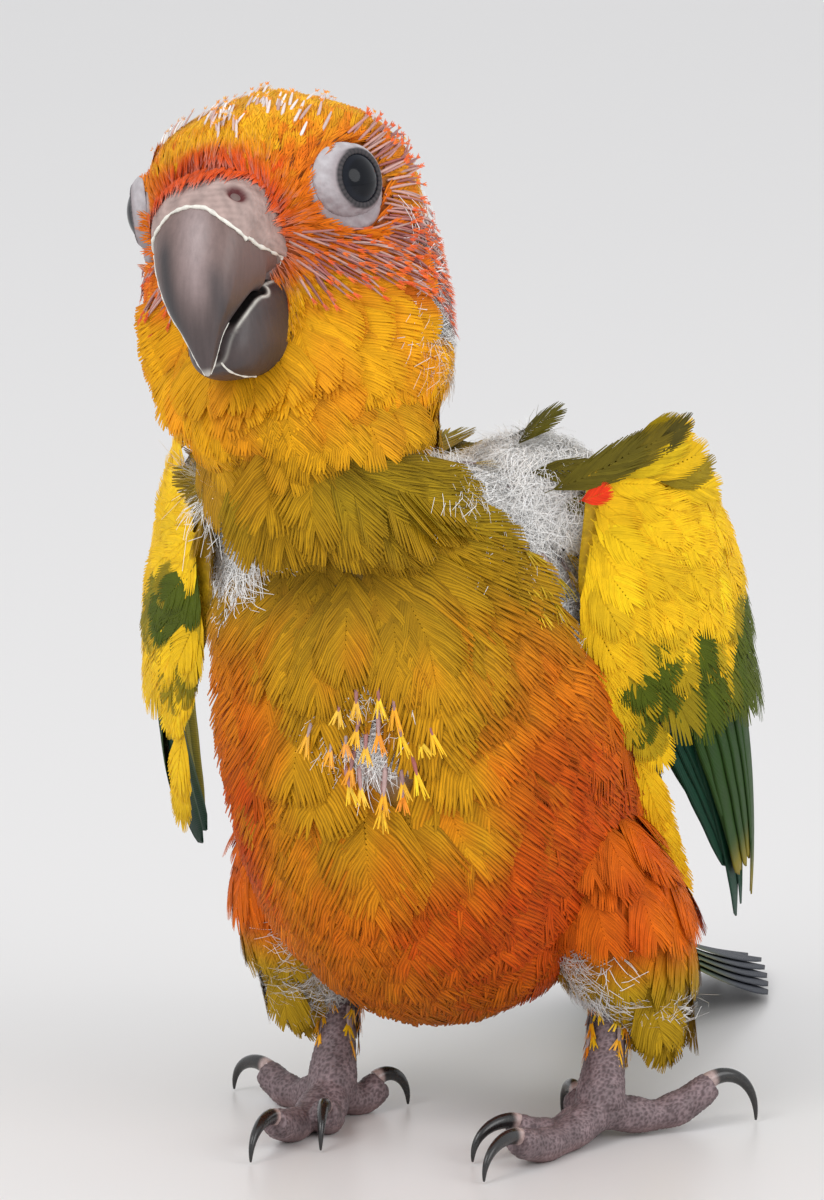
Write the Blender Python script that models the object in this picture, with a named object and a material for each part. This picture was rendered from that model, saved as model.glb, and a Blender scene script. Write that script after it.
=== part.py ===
"""Young sun conure standing on its two feet, as a still life-size model.

Lengths are in millimetres and angles in degrees, until new_object() writes metres.
World axes: +Z up. The bird looks roughly along -Y, so that its left side is towards +X.
"""

import math

import bmesh
import bpy
import numpy as np

MM = 0.001
GAP = 0.3
RNG = np.random.default_rng(7)

# Stance
FEET_CENTRE = (6.75, 0.5, 0.0)
BODY_YAW = 16
EYE_MIDDLE = (-20.8, -18.0, 128.6)
HEAD_YAW = 26
HEAD_PITCH = 8
HEAD_ROLL = 11

# Body sections from tail to neck, in the body's axes:
# forward, left, up, pitch of the section's normal, half width, reach to the belly, reach to the back
BODY_SECTIONS = (
    (-47.0, -1.0, 28.0, 22, 0.1, 0.1, 0.1),
    (-44.5, -1.0, 29.0, 24, 6.5, 5.5, 6.0),
    (-39.0, -1.5, 31.5, 28, 12.5, 10.5, 10.0),
    (-28.0, -2.5, 37.5, 34, 21.5, 27.0, 15.0),
    (-15.0, -3.5, 45.0, 42, 27.5, 39.0, 19.0),
    (-3.0, -4.5, 55.0, 52, 28.0, 38.5, 21.5),
    (4.5, -5.5, 67.0, 64, 27.0, 29.5, 22.0),
    (7.5, -7.0, 79.0, 73, 25.5, 24.0, 22.0),
    (10.0, -9.5, 89.0, 76, 23.0, 20.0, 20.0),
)

# Head sections from throat to crown, in the head's axes from between the eyes:
# forward, up, half width, reach to the face, reach to the nape
HEAD_SECTIONS = (
    (-12.0, -35.0, 15.5, 19.5, 15.5),
    (-10.0, -29.0, 19.3, 20.5, 17.5),
    (-8.0, -22.5, 20.6, 16.5, 19.5),
    (-7.5, -16.0, 20.8, 14.0, 20.0),
    (-7.0, -9.0, 20.2, 15.0, 20.0),
    (-7.0, -2.0, 19.3, 18.6, 20.0),
    (-7.0, 4.0, 17.8, 18.2, 19.0),
    (-7.0, 8.6, 14.4, 14.8, 15.8),
    (-7.0, 11.5, 9.5, 9.8, 10.8),
    (-7.0, 13.1, 4.7, 4.9, 5.3),
    (-7.0, 13.6, 0.1, 0.1, 0.1),
)
NECK_START = 7.7
HEAD_START = 9.25

# Eyes
EYE_RADIUS = 5.2
EYE_TURN = 70
EYE_CENTRE_OUT = 12.6
EYE_CENTRE_FORWARD = 0.2
EYE_CENTRE_UP = -0.5
LID_OPENING = 4.0
LID_THICKNESS = 1.0
LID_SUNK = 0.35
SOCKET_DENT = 1.9
SOCKET_REACH = 6.8

# Upper mandible along its curve, in the head's axes:
# forward, up, heading below the horizontal, half width, reach to the culmen, reach to the cutting edge
UPPER_BILL = (
    (3.0, -3.5, 0, 6.0, 5.0, 5.5),
    (10.5, -4.2, 6, 6.5, 5.6, 6.5),
    (14.8, -6.6, 34, 6.3, 5.6, 6.0),
    (17.2, -10.6, 62, 5.3, 4.2, 4.8),
    (18.3, -15.2, 84, 4.0, 2.8, 3.2),
    (18.4, -19.0, 96, 2.4, 1.9, 2.0),
    (18.3, -22.2, 101, 1.25, 1.0, 1.1),
    (18.2, -24.0, 104, 0.45, 0.4, 0.4),
    (18.1, -24.4, 104, 0.05, 0.05, 0.05),
)
# Lower mandible, with the reach up and the reach down
LOWER_BILL = (
    (1.0, -15.5, 0, 6.0, 3.5, 8.3),
    (6.0, -16.0, 2, 6.5, 3.5, 8.2),
    (10.0, -16.8, 2, 6.3, 2.8, 7.8),
    (13.0, -17.8, -2, 5.4, 2.0, 6.4),
    (15.0, -18.6, -8, 4.0, 1.5, 4.4),
    (16.2, -19.2, -12, 2.0, 0.9, 2.0),
    (16.5, -19.4, -12, 0.05, 0.05, 0.05),
)
BILL_START = 0.3
BILL_SQUARENESS = 2.2
MOUTH_GAP = 0.7
CERE_HEIGHT = 1.0
CERE_START = 0.2
CERE_END = 1.85
NOSTRIL_RADIUS = 0.85
NOSTRIL_PLACE = (15.2, 5.4, -1.4)

# Wings, in the body's axes: the bend, the tip, then how far the sheet bows outwards
WING_BEND = {"left": (12.5, 24.5, 93.0), "right": (13.2, -33.4, 89.0)}
WING_TIP = {"left": (-39.5, 30.0, 22.0), "right": (-32.2, -49.0, 29.5)}
WING_BOW = 5.0
WING_ROUND = 24.0
WING_TURN = {"left": (44, 10), "right": (32, 12)}
WING_LENGTH = 85.0
ARM_START = -3.0
ARM_LENGTH = 46.0
ARM_BACK = 1.0
ARM_CHORD = 13.5
ARM_DEPTH = 3.0
ARM_MIDDLE = -1.2
VANE = 0.55
SHINGLE = 8.0
LONG_VANE = 30.0
LONG_STEPS = 4
SHORT_STEPS = 3

# Rows of a wing's vanes: how many, root down the wing at its front and rear edge, root across it,
# length at front and rear, width, height over the sheet, heading at front and rear
WING_ROWS = (
    ("primary", 5, (31.0, 36.0), (-11.5, -2.5), (51.0, 46.0), 8.0, -1.7, (11, 4)),
    ("secondary", 5, (36.0, 32.0), (-2.0, 12.5), (42.0, 38.0), 9.0, -0.5, (2, -5)),
    ("greater", 5, (28.0, 24.0), (-10.5, 11.5), (22.0, 20.0), 9.0, 0.8, (2, -4)),
    ("median", 5, (17.0, 13.0), (-10.5, 11.0), (17.0, 16.0), 9.0, 1.9, (2, -4)),
    ("lesser", 4, (6.0, 2.0), (-8.5, 8.5), (15.0, 15.0), 9.5, 2.6, (2, -2)),
)
ROOT_SINK = 0.5
# Loose feathers over the left shoulder: root down the wing, heading, length
SCAPULARS = ((0.0, 84, 19.0), (4.0, 76, 20.0), (8.0, 68, 16.0))
SCAPULAR_BACK = -9.0
SCAPULAR_WIDTH = 8.0
SCAPULAR_RISE = 3.0

# Tail, in world axes
TAIL_ROOT = (-41.0, -1.0, 31.0)
TAIL_TIP = (51.3, 95.0, 2.4)
TAIL_SAG = 3.5
TAIL_PAIRS = 5
PAIR_STEP = 0.85
PAIR_SHORTER = 5.5
TAIL_VANE_ROOT = 7.0
TAIL_VANE_WIDTH = 8.5
TAIL_COVERTS = 4
COVERT_SPACING = 4.4
COVERT_WIDTH = 7.5
# Height over the tail's sheet and length of the coverts above and below it
COVERT_LAYERS = ((1.0, 24.0), (-5.0, 19.0))

# Legs in world axes: upper end of the thigh, its lower end, the ankle, the foot's middle
THIGH_TOP = {"left": (23.0, -4.0, 50.0), "right": (-13.0, 2.0, 50.0)}
THIGH_LOW = {"left": (31.5, 0.5, 14.5), "right": (-13.5, 10.0, 15.5)}
# Along a thigh: share of its length, half width
THIGH_RADII = ((0.0, 9.0), (0.18, 13.0), (0.4, 13.6), (0.62, 12.0), (0.82, 9.6), (0.95, 7.0), (1.0, 5.0))
ANKLE = {"left": (27.5, 1.0, 21.0), "right": (-9.3, 11.0, 21.0)}
FOOT = {"left": (25.3, -8.5, 4.6), "right": (-10.8, 3.5, 4.6)}
SHANK_RADII = ((2.6, 2.6), (2.8, 2.8), (2.4, 2.5), (3.4, 3.4), (3.0, 3.0))
# Heading on the floor from -Y towards -X, length without the claw, length of the claw
TOES = {
    "left": {
        "1": (159, 8.5, 6.0),
        "2": (51, 15.0, 8.5),
        "3": (33, 21.0, 9.5),
        "4": (-113, 16.5, 8.0),
    },
    "right": {
        "1": (-121, 7.5, 5.5),
        "2": (4, 13.0, 8.0),
        "3": (22, 20.5, 9.0),
        "4": (137, 13.5, 8.0),
    },
}
# Along a toe: share of its length, height of its middle, radius
TOE_SHAPE = (
    (0.0, 4.2, 2.9),
    (0.22, 3.0, 2.6),
    (0.48, 2.0, 2.2),
    (0.72, 2.2, 2.3),
    (0.9, 3.2, 2.2),
    (1.0, 4.0, 1.7),
)
CLAW_TOP = 4.7
CLAW_ARC = 118
RAISED_TOE = ("left", "4")
RAISED_BY = 2.0

# Colour and roughness of each material
FINISHES = {
    "plumage_orange": ((0.80, 0.30, 0.03), 0.8),
    "plumage_yellow": ((0.85, 0.55, 0.04), 0.8),
    "plumage_olive": ((0.55, 0.42, 0.05), 0.8),
    "wing_green": ((0.20, 0.28, 0.04), 0.6),
    "bill_horn": ((0.09, 0.075, 0.08), 0.4),
    "leg_skin": ((0.30, 0.22, 0.23), 0.6),
    "claw_horn": ((0.02, 0.018, 0.02), 0.3),
    "eye_dark": ((0.01, 0.01, 0.012), 0.1),
}


def clear_scene():
    for old in list(bpy.data.objects):
        bpy.data.objects.remove(old)


def material(slot):
    """The shared Principled material of that name."""
    found = bpy.data.materials.get(slot)
    if found:
        return found
    made = bpy.data.materials.new(slot)
    made.use_nodes = True
    colour, roughness = FINISHES[slot]
    shader = made.node_tree.nodes["Principled BSDF"]
    shader.inputs["Base Color"].default_value = (*colour, 1.0)
    shader.inputs["Roughness"].default_value = roughness
    shader.inputs["Metallic"].default_value = 0.0
    return made


def new_object(name, points, faces, slot):
    """A mesh object from points in millimetres."""
    mesh = bpy.data.meshes.new(name)
    mesh.from_pydata((np.asarray(points) * MM).tolist(), [], faces)
    mesh.validate()
    made = bpy.data.objects.new(name, mesh)
    bpy.context.scene.collection.objects.link(made)
    mesh.materials.append(material(slot))
    outward(made)
    return made


def outward(obj):
    """Turns every face to point out."""
    work = bmesh.new()
    work.from_mesh(obj.data)
    bmesh.ops.recalc_face_normals(work, faces=work.faces)
    work.to_mesh(obj.data)
    work.free()


def turned_axes(yaw, pitch=0.0, roll=0.0):
    """Forward, left and up of a frame that is turned to its right, tipped up and leant to its right."""
    y, p, r = (math.radians(a) for a in (yaw, pitch, roll))
    forward = np.array((-math.sin(y), -math.cos(y), 0.0))
    left = np.array((math.cos(y), -math.sin(y), 0.0))
    up = np.array((0.0, 0.0, 1.0))
    forward, up = (
        forward * math.cos(p) + up * math.sin(p),
        up * math.cos(p) - forward * math.sin(p),
    )
    left, up = (
        left * math.cos(r) + up * math.sin(r),
        up * math.cos(r) - left * math.sin(r),
    )
    return np.array((forward, left, up))


BODY_AXES = turned_axes(BODY_YAW)
HEAD_AXES = turned_axes(HEAD_YAW, HEAD_PITCH, HEAD_ROLL)


def in_body(point):
    """World place of a point given as forward, left, up from between the feet."""
    return np.array(FEET_CENTRE) + np.asarray(point, float) @ BODY_AXES


def in_head(point):
    """World place of a point given as forward, left, up from between the eyes."""
    return np.array(EYE_MIDDLE) + np.asarray(point, float) @ HEAD_AXES


def smooth_rows(rows, where):
    """Catmull-Rom curve through rows, read at each place in where (0 is the first row)."""
    rows = np.asarray(rows, float)
    last = len(rows) - 1
    where = np.clip(np.asarray(where, float), 0, last)
    base = np.minimum(where.astype(int), last - 1)
    t = (where - base)[..., None]
    before, start, end, after = (
        rows[np.clip(base + k, 0, last)] for k in (-1, 0, 1, 2)
    )
    return 0.5 * (
        2 * start
        + (end - before) * t
        + (2 * before - 5 * start + 4 * end - after) * t**2
        + (3 * start - before - 3 * end + after) * t**3
    )


def unit(vectors):
    return vectors / np.maximum(np.linalg.norm(vectors, axis=-1, keepdims=True), 1e-9)


def body_rows():
    """Every section of body and head as centre, front axis, left axis and three reaches, in the world."""
    rows = []
    forward, left, up = BODY_AXES
    for ahead, aside, high, pitch, width, belly, back in BODY_SECTIONS:
        p = math.radians(pitch)
        front = forward * math.sin(p) - up * math.cos(p)
        rows.append((*in_body((ahead, aside, high)), *front, *left, width, belly, back))
    for ahead, high, width, face, nape in HEAD_SECTIONS:
        rows.append((*in_head((ahead, 0, high)), *HEAD_AXES[0], *HEAD_AXES[1], width, face, nape))
    return np.array(rows)


BODY_ROWS = body_rows()


def eye_place(side):
    """Centre and outward direction of an eye in the world."""
    sign = 1 if side == "left" else -1
    turn = math.radians(EYE_TURN)
    centre = in_head((EYE_CENTRE_FORWARD, sign * EYE_CENTRE_OUT, EYE_CENTRE_UP))
    outwards = np.array((math.cos(turn), sign * math.sin(turn), 0.0)) @ HEAD_AXES
    return centre, outwards


def body_surface(along, around):
    """Point of the body at section `along` and angle `around` (0 at the front, 90 at the left side).

    Ellipse with one reach to the front and another to the back, pressed in round each eye.
    """
    row = smooth_rows(BODY_ROWS, along)
    centre, front, left = row[..., 0:3], unit(row[..., 3:6]), unit(row[..., 6:9])
    width, face, back = row[..., 9:10], row[..., 10:11], row[..., 11:12]
    turn = np.radians(np.asarray(around, float))[..., None]
    reach = np.where(np.cos(turn) > 0, face, back)
    point = centre + front * reach * np.cos(turn) + left * width * np.sin(turn)
    for side in ("left", "right"):
        eye, outwards = eye_place(side)
        away = np.linalg.norm(point - eye - outwards * EYE_RADIUS, axis=-1, keepdims=True)
        point = point - outwards * SOCKET_DENT * np.exp(-((away / SOCKET_REACH) ** 2))
    return point


def ring_faces(rings, count, closed_start, closed_end):
    """Faces of a loft whose points are rings of count points each."""
    faces = []
    for i in range(rings - 1):
        for j in range(count):
            k = (j + 1) % count
            a, b = i * count + j, i * count + k
            faces.append((a, b, b + count))
            faces.append((a, b + count, a + count))
    if closed_start:
        faces.append(tuple(reversed(range(count))))
    if closed_end:
        faces.append(tuple(range((rings - 1) * count, rings * count)))
    return faces


def loft(name, rings, slot):
    """A closed solid from rings of points, with a flat cap at each end."""
    rings = np.asarray(rings, float)
    points = rings.reshape(-1, 3)
    return new_object(name, points, ring_faces(len(rings), rings.shape[1], True, True), slot)


def section_ring(centre, first, second, reach_one, reach_two, reach_back, count, power=2.0):
    """Ring round centre: reach_one on +first, reach_back on -first and reach_two on +-second."""
    turn = np.linspace(0, 2 * math.pi, count, endpoint=False)
    c, s = np.cos(turn), np.sin(turn)
    c = np.sign(c) * np.abs(c) ** (2 / power)
    s = np.sign(s) * np.abs(s) ** (2 / power)
    reach = np.where(c > 0, reach_one, reach_back)
    return centre + np.outer(c * reach, first) + np.outer(s * reach_two, second)


def body_piece(name, start, end, rings, count, slot):
    """The stretch of the body between two sections, cut square with half a gap off each cut end."""
    along = np.linspace(start, end, rings)
    around = np.arange(count) * 360 / count
    grid = body_surface(*np.meshgrid(along, around, indexing="ij"))
    last = len(BODY_ROWS) - 1
    for index, edge, sign in ((0, start, 1), (-1, end, -1)):
        if 0 < edge < last:
            row = smooth_rows(BODY_ROWS, edge)
            normal = unit(np.cross(row[3:6], row[6:9]))
            grid[index] += normal * sign * GAP / 2
    return loft(name, grid, slot)


def grown(obj, distance):
    """A cutter: the object's shape with every vertex moved out along its normal."""
    cutter = obj.copy()
    cutter.data = obj.data.copy()
    cutter.name = obj.name + "_cutter"
    bpy.context.scene.collection.objects.link(cutter)
    work = bmesh.new()
    work.from_mesh(cutter.data)
    work.normal_update()
    moves = [v.normal * distance * MM * v.calc_shell_factor() for v in work.verts]
    for vertex, move in zip(work.verts, moves):
        vertex.co += move
    work.to_mesh(cutter.data)
    work.free()
    cutter.hide_render = True
    cutter.display_type = "WIRE"
    return cutter


def apply_modifiers(obj):
    """Bakes the modifiers into the mesh."""
    bpy.context.view_layer.update()
    graph = bpy.context.evaluated_depsgraph_get()
    baked = bpy.data.meshes.new_from_object(obj.evaluated_get(graph))
    obj.modifiers.clear()
    obj.data = baked


def keep_largest(obj):
    """Keeps the closed surface that encloses most, and drops scraps and sealed hollows."""
    work = bmesh.new()
    work.from_mesh(obj.data)
    bmesh.ops.remove_doubles(work, verts=work.verts, dist=1e-6)
    left, best, best_size = set(work.faces), None, -1.0
    while left:
        island, queue = set(), [left.pop()]
        while queue:
            face = queue.pop()
            island.add(face)
            for edge in face.edges:
                for near in edge.link_faces:
                    if near in left:
                        left.discard(near)
                        queue.append(near)
        corners = np.array([v.co for f in island for v in f.verts])
        size = float(np.prod(corners.max(0) - corners.min(0)))
        if size > best_size:
            best, best_size = island, size
    scraps = [f for f in work.faces if f not in best]
    bmesh.ops.delete(work, geom=scraps, context="FACES")
    bmesh.ops.triangulate(work, faces=work.faces)
    work.to_mesh(obj.data)
    work.free()


def cut(obj, cutter):
    """Takes the cutter's shape out of obj and removes the cutter."""
    change = obj.modifiers.new("cut", "BOOLEAN")
    change.operation = "DIFFERENCE"
    change.object = cutter
    change.solver = "EXACT"
    apply_modifiers(obj)
    bpy.data.objects.remove(cutter)
    keep_largest(obj)


def fuse(node, pieces):
    """Joins closed pieces to node with one union."""
    group = bpy.data.collections.new(node.name + "_pieces")
    for piece in pieces:
        group.objects.link(piece)
    change = node.modifiers.new("join", "BOOLEAN")
    change.operation = "UNION"
    change.operand_type = "COLLECTION"
    change.collection = group
    change.solver = "EXACT"
    apply_modifiers(node)
    for piece in pieces:
        bpy.data.objects.remove(piece)
    bpy.data.collections.remove(group)
    keep_largest(node)


def bill_piece(name, rows, count, where, grow=0.0):
    """A mandible: a section at each place in where, carried along its curve in the head's middle plane."""
    forward, left, up = HEAD_AXES
    made = []
    for ahead, high, heading, width, outer, inner in smooth_rows(rows, where):
        h = math.radians(heading)
        outer_axis = forward * math.sin(h) + up * math.cos(h)
        centre = in_head((ahead, 0, high))
        reaches = (outer + grow, width + grow, inner + grow)
        made.append(section_ring(centre, outer_axis, left, *reaches, count, BILL_SQUARENESS))
    return loft(name, made, "bill_horn")


def across(direction):
    """Two unit vectors square to a direction and to each other."""
    helper = np.array((0.0, 0.0, 1.0)) if abs(direction[2]) < 0.9 else np.array((1.0, 0.0, 0.0))
    one = unit(np.cross(direction, helper))
    return one, np.cross(direction, one)


def ball(name, centre, radius, slot, segments=16, rings=9):
    """A round ball with poles on the world's vertical."""
    steps = np.radians(np.linspace(-90, 90, rings + 1))
    steps[0], steps[-1] = math.radians(-89.5), math.radians(89.5)
    east, north, up = np.eye(3)
    made = [
        section_ring(
            np.asarray(centre) + up * radius * math.sin(a),
            east,
            north,
            radius * math.cos(a),
            radius * math.cos(a),
            radius * math.cos(a),
            segments,
        )
        for a in steps
    ]
    return loft(name, made, slot)


def lid(name, side):
    """The bare ring of skin round an eye: a tube bent round the opening."""
    centre, outwards = eye_place(side)
    one, two = across(outwards)
    depth = math.sqrt(EYE_RADIUS**2 - LID_OPENING**2)
    points, count, sides = [], 18, 5
    for turn in np.linspace(0, 2 * math.pi, count, endpoint=False):
        spoke = one * math.cos(turn) + two * math.sin(turn)
        middle = centre + outwards * (depth - LID_SUNK) + spoke * (LID_OPENING + LID_THICKNESS)
        for around in np.linspace(0, 2 * math.pi, sides, endpoint=False):
            points.append(
                middle
                + spoke * LID_THICKNESS * 1.25 * math.cos(around)
                + outwards * LID_THICKNESS * math.sin(around)
            )
    faces = []
    for i in range(count):
        n = (i + 1) % count
        for j in range(sides):
            k = (j + 1) % sides
            faces.append((i * sides + j, n * sides + j, n * sides + k, i * sides + k))
    return new_object(name, points, faces, "plumage_orange")


def make_head():
    """Head with lids, cere, eyes and bill, each cut clear of the next."""
    head = body_piece("head", HEAD_START, len(BODY_ROWS) - 1, 23, 28, "plumage_orange")
    cere = bill_piece("cere_piece", UPPER_BILL, 18, np.linspace(CERE_START, CERE_END, 5), CERE_HEIGHT)
    fuse(head, [cere, lid("lid_left_piece", "left"), lid("lid_right_piece", "right")])
    upper = bill_piece("bill_upper", UPPER_BILL, 18, np.linspace(BILL_START, len(UPPER_BILL) - 1, 15))
    lower = bill_piece("bill_lower", LOWER_BILL, 16, np.linspace(BILL_START, len(LOWER_BILL) - 1, 10))
    cut(lower, grown(upper, MOUTH_GAP))
    cut(head, grown(upper, GAP))
    cut(head, grown(lower, GAP))
    for side in ("left", "right"):
        centre, _ = eye_place(side)
        eye = ball("eye_" + side, centre, EYE_RADIUS, "eye_dark")
        cut(head, grown(eye, GAP))
        ahead, aside, high = NOSTRIL_PLACE
        place = in_head((ahead, aside if side == "left" else -aside, high))
        cut(head, ball("nostril", place, NOSTRIL_RADIUS, "bill_horn", 8, 5))
    return head


def wing_sheet(side, down, back, height):
    """Point of the folded wing: down its length, back across it, and height out from its sheet.

    The sheet is an arc across, bowed outwards along its length, and turns with it.
    """
    lengths = (np.asarray(x, float)[..., None] for x in (down, back, height))
    down, back, height = np.broadcast_arrays(*lengths)
    sign = 1 if side == "left" else -1
    bend, tip = in_body(WING_BEND[side]), in_body(WING_TIP[side])
    along = unit(tip - bend)
    scale = np.linalg.norm(tip - bend) / WING_LENGTH
    share = down / WING_LENGTH
    first, last = WING_TURN[side]
    turn = np.radians(first + (last - first) * np.clip(share, 0, 1))
    aside = np.cos(turn) * sign * BODY_AXES[1] + np.sin(turn) * BODY_AXES[0]
    outwards = unit(aside - along * (aside @ along)[..., None])
    backwards = np.cross(outwards, along) * sign
    bow = WING_BOW * (1 - (2 * share - 1) ** 2)
    angle = back / WING_ROUND
    radius = WING_ROUND + height
    return (
        bend
        + along * down * scale
        + backwards * np.sin(angle) * radius
        + outwards * (np.cos(angle) * radius - WING_ROUND + bow)
    )


def vane(name, place, root, heading, length, width, height, rise=0.0, tilt=0.0, steps=LONG_STEPS):
    """A flight or covert feather: a thin closed plate, flat below and ridged above, on place(u, v, h).

    Its outline widens fast from the root and rounds off at the tip; tilt lifts its front edge.
    """
    turn = math.radians(heading)
    slope = math.tan(math.radians(tilt))
    rings = []
    for share in np.linspace(0, 1, steps + 1):
        reach = 0.5 * width * min(1.0, 0.4 + 2.4 * share) * math.sqrt(max(1 - share**4, 0))
        reach = max(reach, 0.35)
        u = root[0] + length * share * math.cos(turn)
        v = root[1] + length * share * math.sin(turn)
        level = height + rise * share
        thick = VANE * (1 - 0.45 * share)
        corners = (
            (-1, 0.0),
            (1, 0.0),
            (1, 0.8 * thick),
            (0, 1.2 * thick),
            (-1, 0.8 * thick),
        )
        rings.append(
            [
                place(
                    u - side * reach * math.sin(turn),
                    v + side * reach * math.cos(turn),
                    level - side * reach * slope + top,
                )
                for side, top in corners
            ]
        )
    return loft(name, rings, "wing_green")


def arm_section(share):
    """Half width and half depth of the arm: full over most of its length and rounded at both ends."""
    swell = math.sin(math.pi * (0.05 + share * 0.9)) ** 0.45
    return ARM_CHORD * swell, ARM_DEPTH * swell * (1 - 0.35 * share)


def arm_top(down, back):
    """Height of the arm's outer face over the sheet, or of its middle outside it."""
    share = min(max((down - ARM_START) / (ARM_LENGTH - ARM_START), 0.0), 1.0)
    chord, depth = arm_section(share)
    inside = max(0.0, 1 - ((back - ARM_BACK) / chord) ** 2)
    return ARM_MIDDLE + depth * math.sqrt(inside)


def wing_arm(name, side):
    """The folded arm: a flat lens along the sheet."""
    rings = []
    turn = np.linspace(0, 2 * math.pi, 14, endpoint=False)
    for share in np.linspace(0, 1, 9):
        chord, depth = arm_section(share)
        down = ARM_START + share * (ARM_LENGTH - ARM_START)
        back = ARM_BACK + chord * np.cos(turn)
        rings.append(wing_sheet(side, down, back, ARM_MIDDLE + depth * np.sin(turn)))
    return loft(name, rings, "plumage_yellow")


def wing_row(place, kind, count, downs, backs, lengths, width, height, headings):
    """One tier of a wing's vanes, evenly from its front edge to its rear edge, each root sunk in the arm."""
    made = []
    for i in range(count):
        share = i / (count - 1)
        spans = (downs, backs, lengths, headings)
        down, back, length, heading = (front + (rear - front) * share for front, rear in spans)
        length *= RNG.uniform(0.95, 1.05)
        root = min(height, arm_top(down, back) - ROOT_SINK)
        steps = LONG_STEPS if length > LONG_VANE else SHORT_STEPS
        name = f"{kind}_{i}"
        rise = height - root
        made.append(vane(name, place, (down, back), heading, length, width, root, rise, SHINGLE, steps))
    return made


def make_wing(side):
    """One folded wing: the arm with its vanes in tiers."""
    wing = wing_arm("wing_" + side, side)

    def place(u, v, h):
        return wing_sheet(side, u, v, h)

    pieces = [piece for row in WING_ROWS for piece in wing_row(place, *row)]
    if side == "left":
        for i, (down, heading, length) in enumerate(SCAPULARS):
            root = (down, SCAPULAR_BACK)
            sizes = (length, SCAPULAR_WIDTH, arm_top(*root) - ROOT_SINK, SCAPULAR_RISE)
            pieces.append(vane(f"scapular_{i}", place, root, heading, *sizes, steps=SHORT_STEPS))
    fuse(wing, pieces)
    return wing


def tail_place(u, v, h):
    """Point of the tail's sheet: u from root to tip, v to its left, h up from it, sagging between."""
    root, tip = in_body(TAIL_ROOT), np.array(TAIL_TIP)
    length = np.linalg.norm(tip - root)
    along = (tip - root) / length
    left = unit(np.cross(along, (0.0, 0.0, 1.0)))
    up = np.cross(left, along)
    share = u / length
    return root + along * u + left * v + up * (h - 0.012 * v * v - TAIL_SAG * 4 * share * (1 - share))


def make_tail():
    """Tail: pairs of graduated feathers fanned on a short root, the middle pair on top and longest."""
    length = float(np.linalg.norm(np.array(TAIL_TIP) - in_body(TAIL_ROOT))) - TAIL_VANE_ROOT
    turn = np.linspace(0, 2 * math.pi, 12, endpoint=False)
    rings = []
    for share in np.linspace(0, 1, 6):
        wide, deep = 8.5 - 3.0 * share, 4.6 - 2.8 * share
        down = -3 + 22 * share
        rings.append([tail_place(down, wide * math.cos(a), deep * math.sin(a) - 1.2) for a in turn])
    tail = loft("tail", rings, "wing_green")
    pieces = []
    for pair in range(TAIL_PAIRS):
        out = TAIL_PAIRS - 1 - pair
        for sign in (-1, 1):
            root = (TAIL_VANE_ROOT, sign * (1.2 + out))
            level = -PAIR_STEP * (out + (0.5 if sign > 0 else 0.0))
            sizes = (length - PAIR_SHORTER * out, TAIL_VANE_WIDTH, level)
            pieces.append(vane(f"rectrix_{pair}_{sign}", tail_place, root, sign * 2.0 * out, *sizes))
    for i in range(TAIL_COVERTS):
        aside = (i - (TAIL_COVERTS - 1) / 2) * COVERT_SPACING
        for level, reach in COVERT_LAYERS:
            name = f"tail_covert_{i}_{level}"
            sizes = (reach - abs(aside) * 0.8, COVERT_WIDTH, level + 0.12 * i)
            pieces.append(vane(name, tail_place, (4.0, aside), aside * 0.9, *sizes, steps=SHORT_STEPS))
    fuse(tail, pieces)
    return tail


def tube(name, path, radii, slot, count=10):
    """A round tube through the path's points."""
    path = np.asarray(path, float)
    rings = []
    for i, centre in enumerate(path):
        direction = unit(path[min(i + 1, len(path) - 1)] - path[max(i - 1, 0)])
        side = unit(np.cross(direction, (0.0, 0.0, 1.0)) + 1e-6)
        top = np.cross(side, direction)
        wide, high = radii[i]
        rings.append(section_ring(centre, side, top, wide, high, wide, count))
    return loft(name, rings, slot)


def floor_heading(turn):
    """World direction on the floor at that angle from -Y towards -X."""
    turn = math.radians(turn)
    return np.array((-math.sin(turn), -math.cos(turn), 0.0))


def toe_lift(side, toe, share):
    """How far a toe that stands on tiptoe is raised at that share of its length."""
    return RAISED_BY * share**2 if (side, toe) == RAISED_TOE else 0.0


def toe_piece(side, toe):
    """A toe: out from the ball of the foot, along the floor, and up a little at its last joint."""
    heading, length, _ = TOES[side][toe]
    direction = floor_heading(heading)
    path, radii = [], []
    for share, high, radius in TOE_SHAPE:
        centre = np.array(FOOT[side]) + direction * length * share
        centre[2] = high + toe_lift(side, toe, share)
        path.append(centre)
        radii.append((radius, radius))
    return tube(f"toe_{side}_{toe}_piece", path, radii, "leg_skin", 9)


def claw(side, toe):
    """A claw: an arc from the toe's end up, over and down to the floor."""
    heading, length, reach = TOES[side][toe]
    direction = floor_heading(heading)
    start = np.array(FOOT[side]) + direction * (length - 0.6)
    top = CLAW_TOP + toe_lift(side, toe, 1.0)
    path, radii = [], []
    for share in np.linspace(0, 1, 6):
        angle = math.radians(CLAW_ARC * (1 - share))
        centre = start + direction * reach * (0.30 + 0.62 * math.cos(angle))
        centre[2] = 0.12 + top * math.sin(angle) ** 0.85
        path.append(centre)
        thick = 0.98 * (1 - share) ** 0.7 + 0.24
        radii.append((thick * 0.85, thick))
    return tube(f"claw_{side}_{toe}", path, radii, "claw_horn", 6)


def make_foot(side):
    """Shank, foot and four toes in one, with the claws as nodes of their own."""
    foot, ankle = np.array(FOOT[side]), np.array(ANKLE[side])
    above = ankle + (ankle - foot) * 0.15
    path = [above, ankle, (foot + ankle) / 2, foot + (0, 0, 1.2), foot + (0, 0, -1.6)]
    shank = tube("foot_" + side, path, SHANK_RADII, "leg_skin", 12)
    fuse(shank, [toe_piece(side, toe) for toe in TOES[side]])
    for toe in TOES[side]:
        made = claw(side, toe)
        cut_clear(made, [shank])
        level_base(made)
    level_base(shank)
    return shank


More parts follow.
